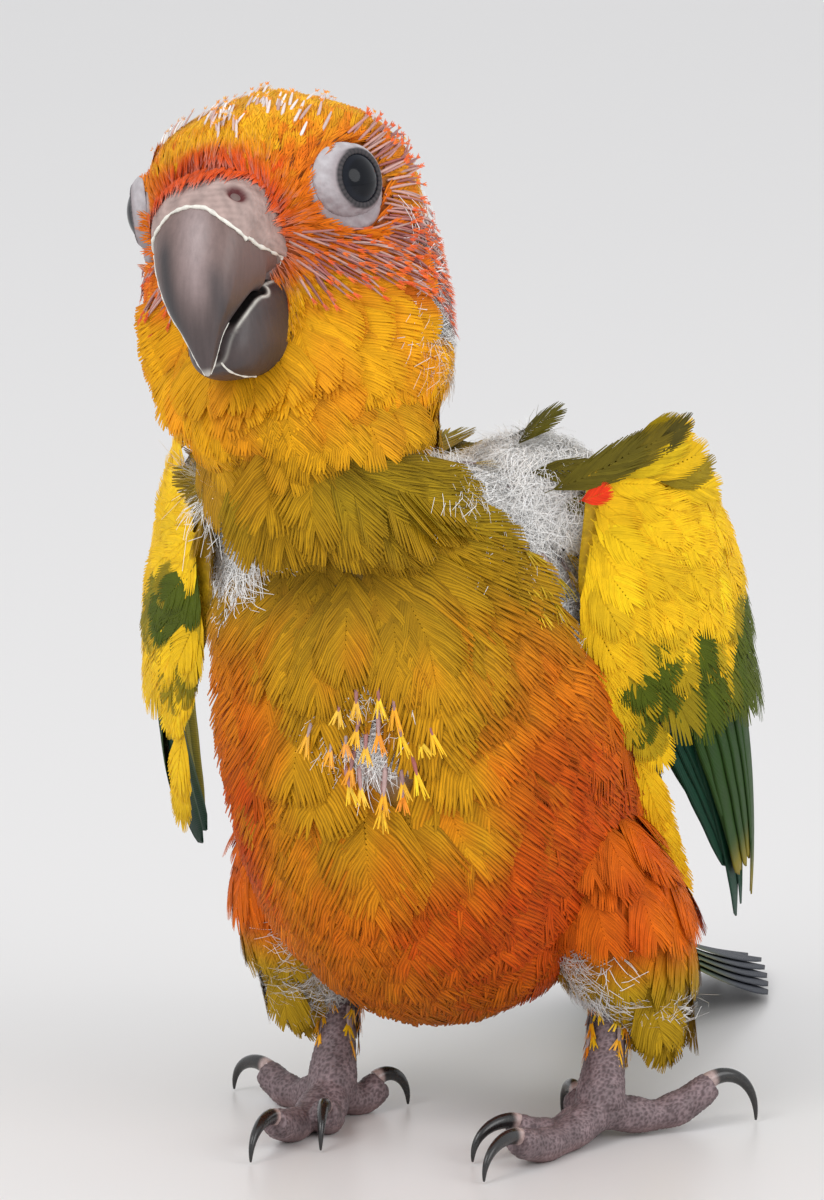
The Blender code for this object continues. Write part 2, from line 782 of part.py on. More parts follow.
def level_base(obj):
    """Cuts off what is under the floor, which leaves small flats at one level."""
    slab = new_object(
        "floor_cutter",
        [(x, y, z) for x in (-120, 120) for y in (-120, 120) for z in (-20, 0)],
        [(0, 1, 3, 2), (4, 6, 7, 5), (0, 4, 5, 1), (2, 3, 7, 6), (0, 2, 6, 4), (1, 5, 7, 3)],
        "leg_skin",
    )
    slab.hide_render = True
    slab.display_type = "WIRE"
    cut(obj, slab)


def make_thigh(side, torso, foot):
    """Feathered thigh from the flank down to the ankle."""
    top, low = np.array(THIGH_TOP[side]), np.array(THIGH_LOW[side])
    shares, reaches = np.array(THIGH_RADII).T
    forward, left, _ = BODY_AXES
    rings = [
        section_ring(top + (low - top) * share, forward, left, reach * 1.1, reach, reach * 1.1, 18)
        for share, reach in zip(shares, reaches)
    ]
    thigh = loft("thigh_" + side, rings, "plumage_orange")
    cut_clear(thigh, [torso, foot])
    return thigh


def vertices_of(obj):
    return np.array([tuple(v.co) for v in obj.data.vertices])


def settle():
    """Moves everything so that the origin is under the middle of the whole model's box."""
    nodes = [o for o in bpy.data.objects if not o.hide_render]
    corners = np.concatenate([vertices_of(o) for o in nodes])
    low, high = corners.min(0), corners.max(0)
    shift = np.array((-(low[0] + high[0]) / 2, -(low[1] + high[1]) / 2, -low[2]))
    for obj in nodes:
        obj.data.vertices.foreach_set("co", (vertices_of(obj) + shift).ravel())
        obj.data.update()


def boxes_meet(one, other, margin=0.0005):
    """Whether the boxes of two objects come nearer than the margin."""
    first, second = vertices_of(one), vertices_of(other)
    below = first.min(0) - margin < second.max(0)
    above = second.min(0) - margin < first.max(0)
    return bool(np.all(below & above))


def cut_clear(obj, others):
    """Cuts obj back by the gap from each of the others that it could touch."""
    for other in others:
        if boxes_meet(obj, other):
            cut(obj, grown(other, GAP))


def shade(angle=35):
    """Smooth shading on every node, with an edge where faces meet at more than the angle."""
    for obj in bpy.data.objects:
        obj.data.shade_smooth()
        obj.data.set_sharp_from_angle(angle=math.radians(angle))


def main():
    clear_scene()
    torso = body_piece("torso", 0.0, NECK_START, 20, 30, "plumage_olive")
    neck = body_piece("neck", NECK_START, HEAD_START, 6, 30, "plumage_olive")
    head = make_head()
    for side in ("left", "right"):
        foot = make_foot(side)
        cut_clear(foot, [torso])
        thigh = make_thigh(side, torso, foot)
        cut_clear(make_wing(side), [torso, neck, head, thigh])
    tail = make_tail()
    cut_clear(tail, [torso, bpy.data.objects["wing_left"], bpy.data.objects["thigh_left"]])
    settle()
    shade()


main()
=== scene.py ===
"""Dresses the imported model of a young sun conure: skin, plumage, bill, eyes, wings, tail, legs and a small studio.

Lengths are in millimetres and angles in degrees, in the frame that the bird was modelled in: +Z up, the
feet near the origin, its left side towards +X. build_mesh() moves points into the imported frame, in metres.
"""

import math

import bpy
import numpy as np
from bpy.props import FloatProperty, FloatVectorProperty, IntProperty, PointerProperty
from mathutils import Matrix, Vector


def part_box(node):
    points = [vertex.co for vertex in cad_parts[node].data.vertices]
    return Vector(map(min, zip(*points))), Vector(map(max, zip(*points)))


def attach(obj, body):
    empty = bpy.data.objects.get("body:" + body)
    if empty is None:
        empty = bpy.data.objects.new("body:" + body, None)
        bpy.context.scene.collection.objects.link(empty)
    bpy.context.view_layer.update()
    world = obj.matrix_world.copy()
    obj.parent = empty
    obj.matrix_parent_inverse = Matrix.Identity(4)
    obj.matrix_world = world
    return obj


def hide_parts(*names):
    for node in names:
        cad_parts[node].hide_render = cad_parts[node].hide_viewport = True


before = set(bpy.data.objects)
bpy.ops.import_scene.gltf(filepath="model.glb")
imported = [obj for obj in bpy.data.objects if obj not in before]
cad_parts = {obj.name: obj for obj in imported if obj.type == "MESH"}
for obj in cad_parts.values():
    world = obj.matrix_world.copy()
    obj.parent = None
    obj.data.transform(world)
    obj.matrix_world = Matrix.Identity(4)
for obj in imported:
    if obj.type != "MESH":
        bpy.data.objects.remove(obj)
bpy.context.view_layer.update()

bl_info = {
    "name": "Young sun conure",
    "version": (1, 0, 0),
    "blender": (4, 5, 0),
    "location": "3D View > Sidebar > Conure",
    "description": "Plumage, skin, bill, eyes, wings, tail and legs of a young sun conure",
    "category": "Object",
}

MM = 0.001
SIDES = ("left", "right")

# Stance
FEET_CENTRE = (6.75, 0.5, 0.0)
BODY_YAW = 16
EYE_MIDDLE = (-20.8, -18.0, 128.6)
HEAD_YAW = 26
HEAD_PITCH = 8
HEAD_ROLL = 11

# Body sections from tail to neck: forward, left, up, pitch, half width, reach to belly, reach to back
BODY_SECTIONS = (
    (-47.0, -1.0, 28.0, 22, 0.1, 0.1, 0.1),
    (-44.5, -1.0, 29.0, 24, 6.5, 5.5, 6.0),
    (-39.0, -1.5, 31.5, 28, 12.5, 10.5, 10.0),
    (-28.0, -2.5, 37.5, 34, 21.5, 27.0, 15.0),
    (-15.0, -3.5, 45.0, 42, 27.5, 39.0, 19.0),
    (-3.0, -4.5, 55.0, 52, 28.0, 38.5, 21.5),
    (4.5, -5.5, 67.0, 64, 27.0, 29.5, 22.0),
    (7.5, -7.0, 79.0, 73, 25.5, 24.0, 22.0),
    (10.0, -9.5, 89.0, 76, 23.0, 20.0, 20.0),
)
# Head sections from throat to crown: forward, up, half width, reach to face, reach to nape
HEAD_SECTIONS = (
    (-12.0, -35.0, 15.5, 19.5, 15.5),
    (-10.0, -29.0, 19.3, 20.5, 17.5),
    (-8.0, -22.5, 20.6, 16.5, 19.5),
    (-7.5, -16.0, 20.8, 14.0, 20.0),
    (-7.0, -9.0, 20.2, 15.0, 20.0),
    (-7.0, -2.0, 19.3, 18.6, 20.0),
    (-7.0, 4.0, 17.8, 18.2, 19.0),
    (-7.0, 8.6, 14.4, 14.8, 15.8),
    (-7.0, 11.5, 9.5, 9.8, 10.8),
    (-7.0, 13.1, 4.7, 4.9, 5.3),
    (-7.0, 13.6, 0.1, 0.1, 0.1),
)
CROWN_ROW = 19.0
# Depth of the plumage over the skin, by section from tail to crown
COAT_DEPTH = ((0, 0.0), (1, 1.2), (3, 2.4), (7, 2.4), (9, 2.0), (11, 1.6), (14, 1.2), (18, 1.1), (18.6, 0.6), (19, 0.0))

# Eyes
EYE_RADIUS = 5.2
EYE_TURN = 70
EYE_CENTRE_OUT = 12.6
EYE_CENTRE_FORWARD = 0.2
EYE_CENTRE_UP = -0.5
LID_OPENING = 3.35
LID_REACH = 0.95
LID_REACH_FORWARD = 1.0
LID_SLANT = 40
SOCKET_DENT = 1.9
SOCKET_REACH = 6.8

# Upper mandible: forward, up, heading below the horizontal, half width, reach to culmen, reach to cutting edge
UPPER_BILL = (
    (3.0, -3.5, 0, 6.6, 5.0, 7.6),
    (10.5, -4.2, 6, 7.0, 5.6, 8.2),
    (14.8, -6.6, 34, 6.7, 5.6, 8.9),
    (17.2, -10.6, 62, 5.9, 4.2, 7.2),
    (18.3, -15.2, 84, 4.4, 2.8, 4.9),
    (18.4, -19.0, 96, 2.5, 1.9, 2.2),
    (18.3, -22.2, 101, 1.25, 1.0, 1.1),
    (18.2, -24.0, 104, 0.45, 0.4, 0.4),
    (18.1, -24.4, 104, 0.05, 0.05, 0.05),
)
# Lower mandible, with the reach up and the reach down
LOWER_BILL = (
    (1.0, -15.5, 0, 5.7, 5.0, 8.3),
    (6.0, -16.0, 2, 6.1, 4.8, 8.2),
    (10.0, -16.8, 2, 5.8, 4.2, 7.8),
    (13.0, -17.8, -2, 5.0, 3.2, 6.6),
    (15.0, -18.6, -8, 3.8, 2.2, 4.9),
    (16.2, -19.2, -12, 2.0, 0.9, 2.4),
    (16.5, -19.4, -12, 0.05, 0.05, 0.05),
)
BILL_START = 0.3
BILL_SQUARENESS = 2.2
UPPER_INNER = 4.0
MOUTH_GAP = 0.6
CERE_START = 0.2
# Section at which the cere ends, by angle from the culmen
CERE_ENDS = ((0.0, 2.13), (0.35, 2.17), (0.7, 2.32), (1.0, 2.38), (1.3, 2.38), (1.52, 2.36), (1.62, 2.0), (1.8, 1.3), (2.1, 0.5), (2.6, 0.4), (3.15, 0.35))
# How far back of that edge the bristles start, in sections, by signed angle in degrees
BRISTLE_GAPS = ((-130, 0.3), (-15, 0.28), (15, 0.42), (38, 0.95), (62, 1.35), (90, 1.05), (115, 0.7))
CERE_HEIGHT = 0.7
NOSTRIL_PLACE = (15.2, 5.2, -2.0)
NOSTRIL_RADIUS = 1.3
# Reach of the bare skin round an eye, by angle: 0 forward, 90 up
EYE_RING = ((-180, 4.9), (-135, 5.4), (-90, 7.0), (-45, 7.9), (0, 7.9), (45, 6.6), (90, 5.7), (135, 5.0), (180, 4.9))

# Wings: the bend, the tip, the bow and the turn of the folded sheet
WING_BEND = {"left": (12.5, 24.5, 93.0), "right": (13.2, -33.4, 89.0)}
WING_TIP = {"left": (-39.5, 30.0, 22.0), "right": (-32.2, -49.0, 29.5)}
WING_BOW = 5.0
WING_ROUND = 24.0
WING_TURN = {"left": (44, 10), "right": (32, 12)}
WING_LENGTH = 85.0
ARM_START = -3.0
ARM_LENGTH = 46.0
ARM_BACK = 1.0
ARM_CHORD = 13.5
ARM_DEPTH = 2.4
ARM_MIDDLE = -1.2
SHINGLE = 8.0
# Tiers of flight feathers: how many, root down the wing at its front and rear edge, root across it,
# length at front and rear, width, height over the sheet, heading at front and rear
FLIGHT_ROWS = {
    "primaries": (6, (24.0, 38.0), (-9.5, 0.0), (46.0, 49.0), 7.6, -1.7, (10, 3)),
    "secondaries": (7, (34.0, 34.0), (-2.0, 13.0), (41.0, 53.0), 7.2, -0.5, (2, -6)),
}
# Rows of coverts: how many, root down the wing at front and rear, root across it, length, width, headings
COVERT_ROWS = {
    "greater_coverts": (15, (19.0, 37.0), (-11.5, 13.0), 18.0, 7.0, (3, -3)),
    "second_coverts": (15, (13.0, 29.0), (-12.0, 13.5), 16.0, 6.6, (4, 1)),
    "median_coverts": (15, (7.0, 21.0), (-12.0, 13.0), 14.0, 6.2, (6, 6)),
    "marginal_coverts": (24, (16.0, 60.0), (-12.5, -14.5), 12.0, 5.0, (-4, 1)),
}

# How far down the wing the yellow feathers of its front edge reach
EDGE_END = {"left": 61.0, "right": 51.0}

# Long feathers over the left wing's top: root down and across the wing and heading; length, width and lift;
# colour as a share of the scapular olive
SCAPULARS = (
    ((-2.5, -10.0, 92), (16.0, 6.0, 1.6), (1.0, 1.0, 1.0)),
    ((-2.0, -4.0, 88), (13.0, 5.4, 2.2), (1.3, 1.2, 1.0)),
    ((-1.0, 0.0, 84), (13.0, 4.4, 2.4), (0.7, 0.7, 1.0)),
    ((0.0, -2.0, 80), (14.0, 4.8, 2.0), (5.5, 4.6, 1.0)),
    ((2.0, 1.0, 70), (14.0, 4.8, 2.0), (6.5, 5.0, 1.0)),
    ((4.0, 3.0, 60), (13.0, 4.8, 1.8), (2.5, 2.2, 1.0)),
    ((6.0, 4.0, 50), (13.0, 4.8, 1.6), (7.0, 5.5, 1.0)),
    ((0.5, -7.0, 88), (4.6, 3.4, 1.0), (7.0, 0.5, 1.5)),
)
# Single feathers on the mound: place on it in degrees up and round; lie; length, width and lift; colour
SHOULDER_FEATHERS = (
    ((62, 250), (1.0, -0.2, 0.9), (7.5, 5.0, 6.0), (0.9, 1.0, 1.0)),
    ((34, 268), (1.0, -0.1, 0.1), (13.0, 4.8, 2.5), (1.0, 1.0, 1.0)),
    ((4, 290), (1.0, 0.0, 0.1), (8.5, 3.6, 1.0), (1.2, 1.2, 1.0)),
    ((70, 200), (0.9, 0.0, 0.0), (9.0, 3.0, 0.8), (0.5, 0.5, 1.0)),
)
# Soft mound between the neck and the left wing: centre and radii
SHOULDER_MOUND = ((15.5, -9.0, 86.5), (10.5, 8.0, 8.5))

# Tail
TAIL_ROOT = (-41.0, -1.0, 31.0)
TAIL_TIP = (51.3, 95.0, 2.4)
TAIL_SAG = 3.5
TAIL_VANE_ROOT = 7.0
PAIR_STEP = 0.85
PAIR_SHORTER = 3.2

# Legs
THIGH_TOP = {"left": (20.0, -3.0, 50.0), "right": (-13.0, 3.0, 50.0)}
THIGH_LOW = {"left": (31.5, 0.5, 14.5), "right": (-13.5, 10.0, 15.5)}
# Along a thigh from its top: share of its length, half width
THIGH_RADII = ((0.0, 3.0), (0.18, 9.0), (0.4, 11.8), (0.62, 11.6), (0.82, 9.6), (0.95, 7.0), (1.0, 5.0))
ANKLE = {"left": (27.5, 1.0, 21.0), "right": (-9.3, 11.0, 21.0)}
FOOT = {"left": (25.3, -8.5, 4.6), "right": (-10.8, 3.5, 4.6)}
SHANK_RADII = (2.6, 2.8, 2.45, 3.4, 3.0)
# Heading on the floor from -Y towards -X, length without the claw, length of the claw
TOES = {
    "left": {"1": (159, 8.5, 6.0), "2": (51, 15.0, 8.5), "3": (33, 21.0, 9.5), "4": (-113, 16.5, 8.0)},
    "right": {"1": (-121, 7.5, 5.5), "2": (4, 13.0, 8.0), "3": (22, 20.5, 9.0), "4": (137, 13.5, 8.0)},
}
# Along a toe: share of its length, height of its middle, radius
TOE_SHAPE = ((0.0, 4.2, 2.9), (0.22, 3.0, 2.6), (0.48, 2.0, 2.2), (0.72, 2.2, 2.3), (0.9, 3.2, 2.2), (1.0, 4.0, 1.7))
CLAW_TOP = 4.7
CLAW_ARC = 118
RAISED_TOE = ("left", "4")
RAISED_BY = 2.0

# Size of a tuft's patch in the unwrap that the coat is baked on
PATCH = 0.003


# Frames and curves


def unit(vectors):
    return vectors / np.maximum(np.linalg.norm(vectors, axis=-1, keepdims=True), 1e-9)


def dot(one, other):
    return np.sum(one * other, axis=-1, keepdims=True)


def turned_axes(yaw, pitch=0.0, roll=0.0):
    """Forward, left and up of a frame that is turned to its right, tipped up and leant to its right."""
    y, p, r = (math.radians(a) for a in (yaw, pitch, roll))
    forward = np.array((-math.sin(y), -math.cos(y), 0.0))
    left = np.array((math.cos(y), -math.sin(y), 0.0))
    up = np.array((0.0, 0.0, 1.0))
    forward, up = forward * math.cos(p) + up * math.sin(p), up * math.cos(p) - forward * math.sin(p)
    left, up = left * math.cos(r) + up * math.sin(r), up * math.cos(r) - left * math.sin(r)
    return np.array((forward, left, up))


BODY_AXES = turned_axes(BODY_YAW)
HEAD_AXES = turned_axes(HEAD_YAW, HEAD_PITCH, HEAD_ROLL)


def in_body(point):
    """Place of a point given as forward, left, up from between the feet."""
    return np.array(FEET_CENTRE) + np.asarray(point, float) @ BODY_AXES


def in_head(point):
    """Place of a point given as forward, left, up from between the eyes."""
    return np.array(EYE_MIDDLE) + np.asarray(point, float) @ HEAD_AXES


def from_head(points):
    """Forward, left and up of points, from between the eyes."""
    return (points - np.array(EYE_MIDDLE)) @ HEAD_AXES.T


def from_body(points):
    """Forward, left and up of points, from between the feet."""
    return (points - np.array(FEET_CENTRE)) @ BODY_AXES.T


def smooth_rows(rows, where):
    """Catmull-Rom curve through rows, read at each place in where (0 is the first row)."""
    rows = np.asarray(rows, float)
    last = len(rows) - 1
    where = np.clip(np.asarray(where, float), 0, last)
    base = np.minimum(where.astype(int), last - 1)
    t = (where - base)[..., None]
    before, start, end, after = (rows[np.clip(base + k, 0, last)] for k in (-1, 0, 1, 2))
    return 0.5 * (
        2 * start
        + (end - before) * t
        + (2 * before - 5 * start + 4 * end - after) * t**2
        + (3 * start - before - 3 * end + after) * t**3
    )


def ramp(value, low, high):
    """0 below low, 1 above high and a smooth step between; high may be the lower of the two."""
    t = np.clip((np.asarray(value, float) - low) / (high - low), 0, 1)
    return t * t * (3 - 2 * t)


def blob(points, centre, radii):
    """1 at centre and falling as a bell with one radius along each axis."""
    away = (points - np.asarray(centre, float)) / np.asarray(radii, float)
    return np.exp(-np.sum(away**2, axis=-1))


def mottle(points, size, seed):
    """Soft random pattern from 0 to 1: a sum of six waves of about that size in random directions."""
    rng = np.random.default_rng(seed)
    total = 0.0
    for _ in range(6):
        direction = unit(rng.normal(size=3)) * 2 * math.pi / (size * rng.uniform(0.7, 1.5))
        total = total + np.sin(points @ direction + rng.uniform(0, 6.3))
    return 0.5 + total / 8


def mix(one, other, share):
    """Blend of two colours, or of arrays of them, by share."""
    share = np.asarray(share, float)[..., None]
    return np.asarray(one, float) * (1 - share) + np.asarray(other, float) * share


# Surfaces of the bird


def body_rows():
    """Every section of body and head as centre, front axis, left axis and three reaches."""
    rows = []
    forward, left, up = BODY_AXES
    for ahead, aside, high, pitch, width, belly, back in BODY_SECTIONS:
        p = math.radians(pitch)
        front = forward * math.sin(p) - up * math.cos(p)
        rows.append((*in_body((ahead, aside, high)), *front, *left, width, belly, back))
    for ahead, high, width, face, nape in HEAD_SECTIONS:
        rows.append((*in_head((ahead, 0, high)), *HEAD_AXES[0], *HEAD_AXES[1], width, face, nape))
    return np.array(rows)


BODY_ROWS = body_rows()


def eye_place(side):
    """Centre and outward direction of an eye."""
    sign = 1 if side == "left" else -1
    turn = math.radians(EYE_TURN)
    centre = in_head((EYE_CENTRE_FORWARD, sign * EYE_CENTRE_OUT, EYE_CENTRE_UP))
    outwards = np.array((math.cos(turn), sign * math.sin(turn), 0.0)) @ HEAD_AXES
    return centre, outwards


def packed_shift():
    """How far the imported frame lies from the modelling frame, read from the left eye's node."""
    low, high = (np.array(corner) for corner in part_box("eye_left"))
    return (low + high) / 2 / MM - eye_place("left")[0]


SHIFT = packed_shift()


def body_surface(along, around):
    """Outside of the body at section `along` and angle `around` (0 at the front, 90 at the left side).

    Ellipse with one reach to the front and another to the back, pressed in round each eye.
    """
    row = smooth_rows(BODY_ROWS, along)
    centre, front, left = row[..., 0:3], unit(row[..., 3:6]), unit(row[..., 6:9])
    width, face, back = row[..., 9:10], row[..., 10:11], row[..., 11:12]
    turn = np.radians(np.asarray(around, float))[..., None]
    reach = np.where(np.cos(turn) > 0, face, back)
    point = centre + front * reach * np.cos(turn) + left * width * np.sin(turn)
    for side in SIDES:
        eye, outwards = eye_place(side)
        away = np.linalg.norm(point - eye - outwards * EYE_RADIUS, axis=-1, keepdims=True)
        point = point - outwards * SOCKET_DENT * np.exp(-((away / SOCKET_REACH) ** 2))
    return point


def eye_ring(points):
    """1 on the bare skin round either eye, fading out at its edge: a pear that reaches forward and down."""
    total = 0.0
    turn = math.radians(EYE_TURN)
    for sign, side in ((1, "left"), (-1, "right")):
        eye, outwards = eye_place(side)
        away = from_head(points) - from_head(eye + outwards * EYE_RADIUS)
        forward = away[..., 0] * math.sin(turn) - sign * away[..., 1] * math.cos(turn)
        limit = np.interp(np.degrees(np.arctan2(away[..., 2], forward)), *zip(*EYE_RING))
        total = total + ramp(np.linalg.norm(away, axis=-1) / limit, 1.05, 0.93)
    return np.clip(total, 0, 1)


def bill_distance(points):
    """How far points lie from the middle of the bill, in a metric that is about 8 along its foot."""
    ahead, aside, high = np.moveaxis(from_head(points), -1, 0)
    return np.sqrt(np.maximum(12.5 - ahead, 0) ** 2 + (aside / 0.95) ** 2 + ((high + 8) / 1.25) ** 2)


def bill_ring(points):
    """1 on the bare skin at the foot of the bill, fading out at its edge."""
    return ramp(bill_distance(points), 8.9, 8.0)


def coat_depth(along, points):
    """Depth of the plumage over the skin: by section, thin on the face, none on bare skin."""
    depth = np.interp(along, *zip(*COAT_DEPTH))
    ahead = from_head(points)[..., 0]
    face = ramp(ahead, 0, 9) * ramp(along, 10.5, 12.5)
    return depth * (1 - 0.5 * face) * (1 - 0.85 * np.maximum(eye_ring(points), bill_ring(points)))


def skin_surface(along, around):
    """The skin: the outside of the body taken in by the depth of the plumage."""
    point, normal, _, _ = slopes(body_surface, along, around, 1)
    return point - normal * coat_depth(along, point)[..., None]


def slopes(surface, u, v, out, step_u=0.03, step_v=0.6):
    """Point, unit normal and the slopes along u and v, by central differences; out is the normal's sign."""
    point = surface(u, v)
    slope_u = (surface(u + step_u, v) - surface(u - step_u, v)) / (2 * step_u)
    slope_v = (surface(u, v + step_v) - surface(u, v - step_v)) / (2 * step_v)
    return point, unit(np.cross(slope_v, slope_u)) * out, slope_u, slope_v


def thigh_surface(side, inset=0.0):
    """Function of (share up the thigh, angle round it) for its outside, taken in by inset."""
    top, low = np.array(THIGH_TOP[side]), np.array(THIGH_LOW[side])
    shares, reaches = np.array(THIGH_RADII).T
    forward, left, _ = BODY_AXES

    def surface(up, around):
        up = np.clip(np.asarray(up, float), 0, 1)
        turn = np.radians(np.asarray(around, float))[..., None]
        reach = (np.interp(1 - up, shares, reaches) - inset)[..., None]
        middle = low + (top - low) * up[..., None]
        return middle + (forward * np.cos(turn) * 1.1 + left * np.sin(turn)) * reach

    return surface


def wing_sheet(side, down, back, height):
    """Point of the folded wing: down its length, back across it, and height out from its sheet.

    The sheet is an arc across, bowed outwards along its length, and turns with it.
    """
    lengths = (np.asarray(x, float)[..., None] for x in (down, back, height))
    down, back, height = np.broadcast_arrays(*lengths)
    sign = 1 if side == "left" else -1
    bend, tip = in_body(WING_BEND[side]), in_body(WING_TIP[side])
    along = unit(tip - bend)
    scale = np.linalg.norm(tip - bend) / WING_LENGTH
    share = down / WING_LENGTH
    first, last = WING_TURN[side]
    turn = np.radians(first + (last - first) * np.clip(share, 0, 1))
    aside = np.cos(turn) * sign * BODY_AXES[1] + np.sin(turn) * BODY_AXES[0]
    outwards = unit(aside - along * (aside @ along)[..., None])
    backwards = np.cross(outwards, along) * sign
    bow = WING_BOW * (1 - (2 * share - 1) ** 2)
    angle = back / WING_ROUND
    radius = WING_ROUND + height
    return (
        bend
        + along * down * scale
        + backwards * np.sin(angle) * radius
        + outwards * (np.cos(angle) * radius - WING_ROUND + bow)
    )


def arm_section(share):
    """Half width and half depth of the folded arm: full over most of its length and rounded at both ends."""
    swell = np.sin(math.pi * (0.05 + np.clip(share, 0, 1) * 0.9)) ** 0.45
    return ARM_CHORD * swell * (0.62 + 0.38 * ramp(share, 0, 0.4)), ARM_DEPTH * swell * (1 - 0.35 * share)


def arm_top(down, back):
    """Height of the arm's outer face over the sheet."""
    share = np.clip((down - ARM_START) / (ARM_LENGTH - ARM_START), 0.0, 1.0)
    chord, depth = arm_section(share)
    inside = np.maximum(0.0, 1 - ((back - ARM_BACK) / chord) ** 2)
    return ARM_MIDDLE + depth * np.sqrt(inside)


def tail_place(u, v, h):
    """Point of the tail's sheet: u from root to tip, v to its left, h up from it, sagging between."""
    u, v, h = np.broadcast_arrays(*(np.asarray(x, float)[..., None] for x in (u, v, h)))
    root, tip = in_body(TAIL_ROOT), np.array(TAIL_TIP)
    length = np.linalg.norm(tip - root)
    along = (tip - root) / length
    left = unit(np.cross(along, (0.0, 0.0, 1.0)))
    up = np.cross(left, along)
    share = u / length
    return root + along * u + left * v + up * (h - 0.012 * v * v - TAIL_SAG * 4 * share * (1 - share))


# Meshes


def grid_faces(rows, columns, around):
    """Faces of a grid of points, row by row, and each corner's place in it; `around` joins last column to first."""
    last = columns if around else columns - 1
    i, j = np.meshgrid(np.arange(rows - 1), np.arange(last), indexing="ij")
    i, j = i.ravel(), j.ravel()
    corner_rows = np.stack((i, i, i + 1, i + 1), axis=1)
    corner_columns = np.stack((j, j + 1, j + 1, j), axis=1)
    faces = corner_rows * columns + corner_columns % columns
    return faces, np.stack((corner_columns / max(last, 1), corner_rows / (rows - 1)), axis=-1)


def build_mesh(name, points, faces, material, tint=None, maps=None, values=None):
    """A smooth mesh object that rides on the body, from points in millimetres.

    faces is a list of whole arrays of corners, tint a colour for each point, maps a UV for each corner
    and values a number for each point.
    """
    faces = faces if isinstance(faces, list) else [faces]
    mesh = bpy.data.meshes.new(name)
    points = (np.asarray(points, float).reshape(-1, 3) + SHIFT) * MM
    mesh.vertices.add(len(points))
    mesh.vertices.foreach_set("co", points.astype(np.float32).ravel())
    corners = np.concatenate([f.ravel() for f in faces])
    sizes = np.concatenate([np.full(len(f), f.shape[1]) for f in faces])
    mesh.loops.add(len(corners))
    mesh.loops.foreach_set("vertex_index", corners.astype(np.int32))
    mesh.polygons.add(len(sizes))
    mesh.polygons.foreach_set("loop_start", (np.cumsum(sizes) - sizes).astype(np.int32))
    mesh.polygons.foreach_set("use_smooth", np.ones(len(sizes), bool))
    for title, places in (maps or {}).items():
        layer = mesh.uv_layers.new(name=title)
        layer.uv.foreach_set("vector", np.asarray(places, np.float32).reshape(-1, 2).ravel())
    if tint is not None:
        colours = np.ones((len(points), 4), np.float32)
        colours[:, :3] = np.clip(np.asarray(tint).reshape(-1, 3), 0, 1)
        mesh.attributes.new("Tint", "FLOAT_COLOR", "POINT").data.foreach_set("color", colours.ravel())
    for title, numbers in (values or {}).items():
        attribute = mesh.attributes.new(title, "FLOAT", "POINT")
        attribute.data.foreach_set("value", np.asarray(numbers, np.float32).ravel())
    mesh.update(calc_edges=True)
    mesh.validate()
    mesh.materials.append(material)
    made = bpy.data.objects.new(name, mesh)
    bpy.context.scene.collection.objects.link(made)
    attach(made, "root")
    return made


def outward_faces(points, faces):
    """The faces, or the same turned round where they enclose a negative volume."""
    points = points - points.mean(axis=0)
    total = 0.0
    for group in faces:
        corners = points[group]
        for k in range(1, group.shape[1] - 1):
            total += np.sum(corners[:, 0] * np.cross(corners[:, k], corners[:, k + 1]))
    return faces if total > 0 else [group[:, ::-1] for group in faces], total > 0


def build_lofts(name, lofts, material, tint=None, maps=None):
    """Closed lofts in one mesh, from an array of lofts, rings and points, with a flat cap at each end.

    OFBake places each loft in a cell of its own; maps holds further pairs of numbers for each point.
    """
    lofts = np.asarray(lofts, float)
    count, rows, columns = lofts.shape[:3]
    points = lofts.reshape(-1, 3)
    first = (np.arange(count) * rows * columns)[:, None, None]
    quads, places = grid_faces(rows, columns, True)
    caps = np.stack((np.arange(columns)[::-1], np.arange(columns) + (rows - 1) * columns))
    faces = [(quads[None] + first).reshape(-1, 4), (caps[None] + first).reshape(-1, columns)]
    cells = math.ceil(math.sqrt(count))
    corner = np.stack((np.arange(count) % cells, np.arange(count) // cells), axis=-1)[:, None, :]
    cap_places = np.stack((np.full(2 * columns, 0.5), np.repeat((0.0, 1.0), columns)), axis=-1)
    bake = [((flat[None] * 0.96 + 0.02 + corner) / cells) for flat in (places.reshape(-1, 2), cap_places)]
    bake = [bake[0].reshape(count * len(quads), 4, 2), bake[1].reshape(count * 2, columns, 2)]
    faces, kept = outward_faces(points, faces)
    if not kept:
        bake = [group[:, ::-1] for group in bake]
    layers = {"OFBake": np.concatenate([group.reshape(-1, 2) for group in bake])}
    corners = np.concatenate([group.ravel() for group in faces])
    for title, numbers in (maps or {}).items():
        layers[title] = np.asarray(numbers).reshape(-1, 2)[corners]
    return build_mesh(name, points, faces, material, tint, layers)


def build_loft(name, rings, material, tint=None, maps=None):
    """One closed loft from an array of rings."""
    return build_lofts(name, np.asarray(rings)[None], material, tint, maps)


def across(direction):
    """Two unit vectors square to a direction and to each other."""
    helper = np.array((0.0, 0.0, 1.0)) if abs(direction[2]) < 0.9 else np.array((1.0, 0.0, 0.0))
    one = unit(np.cross(direction, helper))
    return one, np.cross(direction, one)


# Shaders


class Socket:
    """A shader's output that Python's operators work on: each adds one Math node."""

    def __init__(self, shader, output):
        self.shader = shader
        self.output = output

    def math(self, operation, *values):
        return self.shader.node("ShaderNodeMath", {"operation": operation}, dict(enumerate(values)))[0]

    def __add__(self, other):
        return self.math("ADD", self, other)

    __radd__ = __add__

    def __sub__(self, other):
        return self.math("SUBTRACT", self, other)

    def __rsub__(self, other):
        return self.math("SUBTRACT", other, self)

    def __mul__(self, other):
        return self.math("MULTIPLY", self, other)

    __rmul__ = __mul__

    def __truediv__(self, other):
        return self.math("DIVIDE", self, other)

    def __pow__(self, other):
        return self.math("POWER", self, other)

    def clamped(self):
        return self.math("MAXIMUM", self.math("MINIMUM", self, 1.0), 0.0)

    def sine(self):
        return self.math("SINE", self)


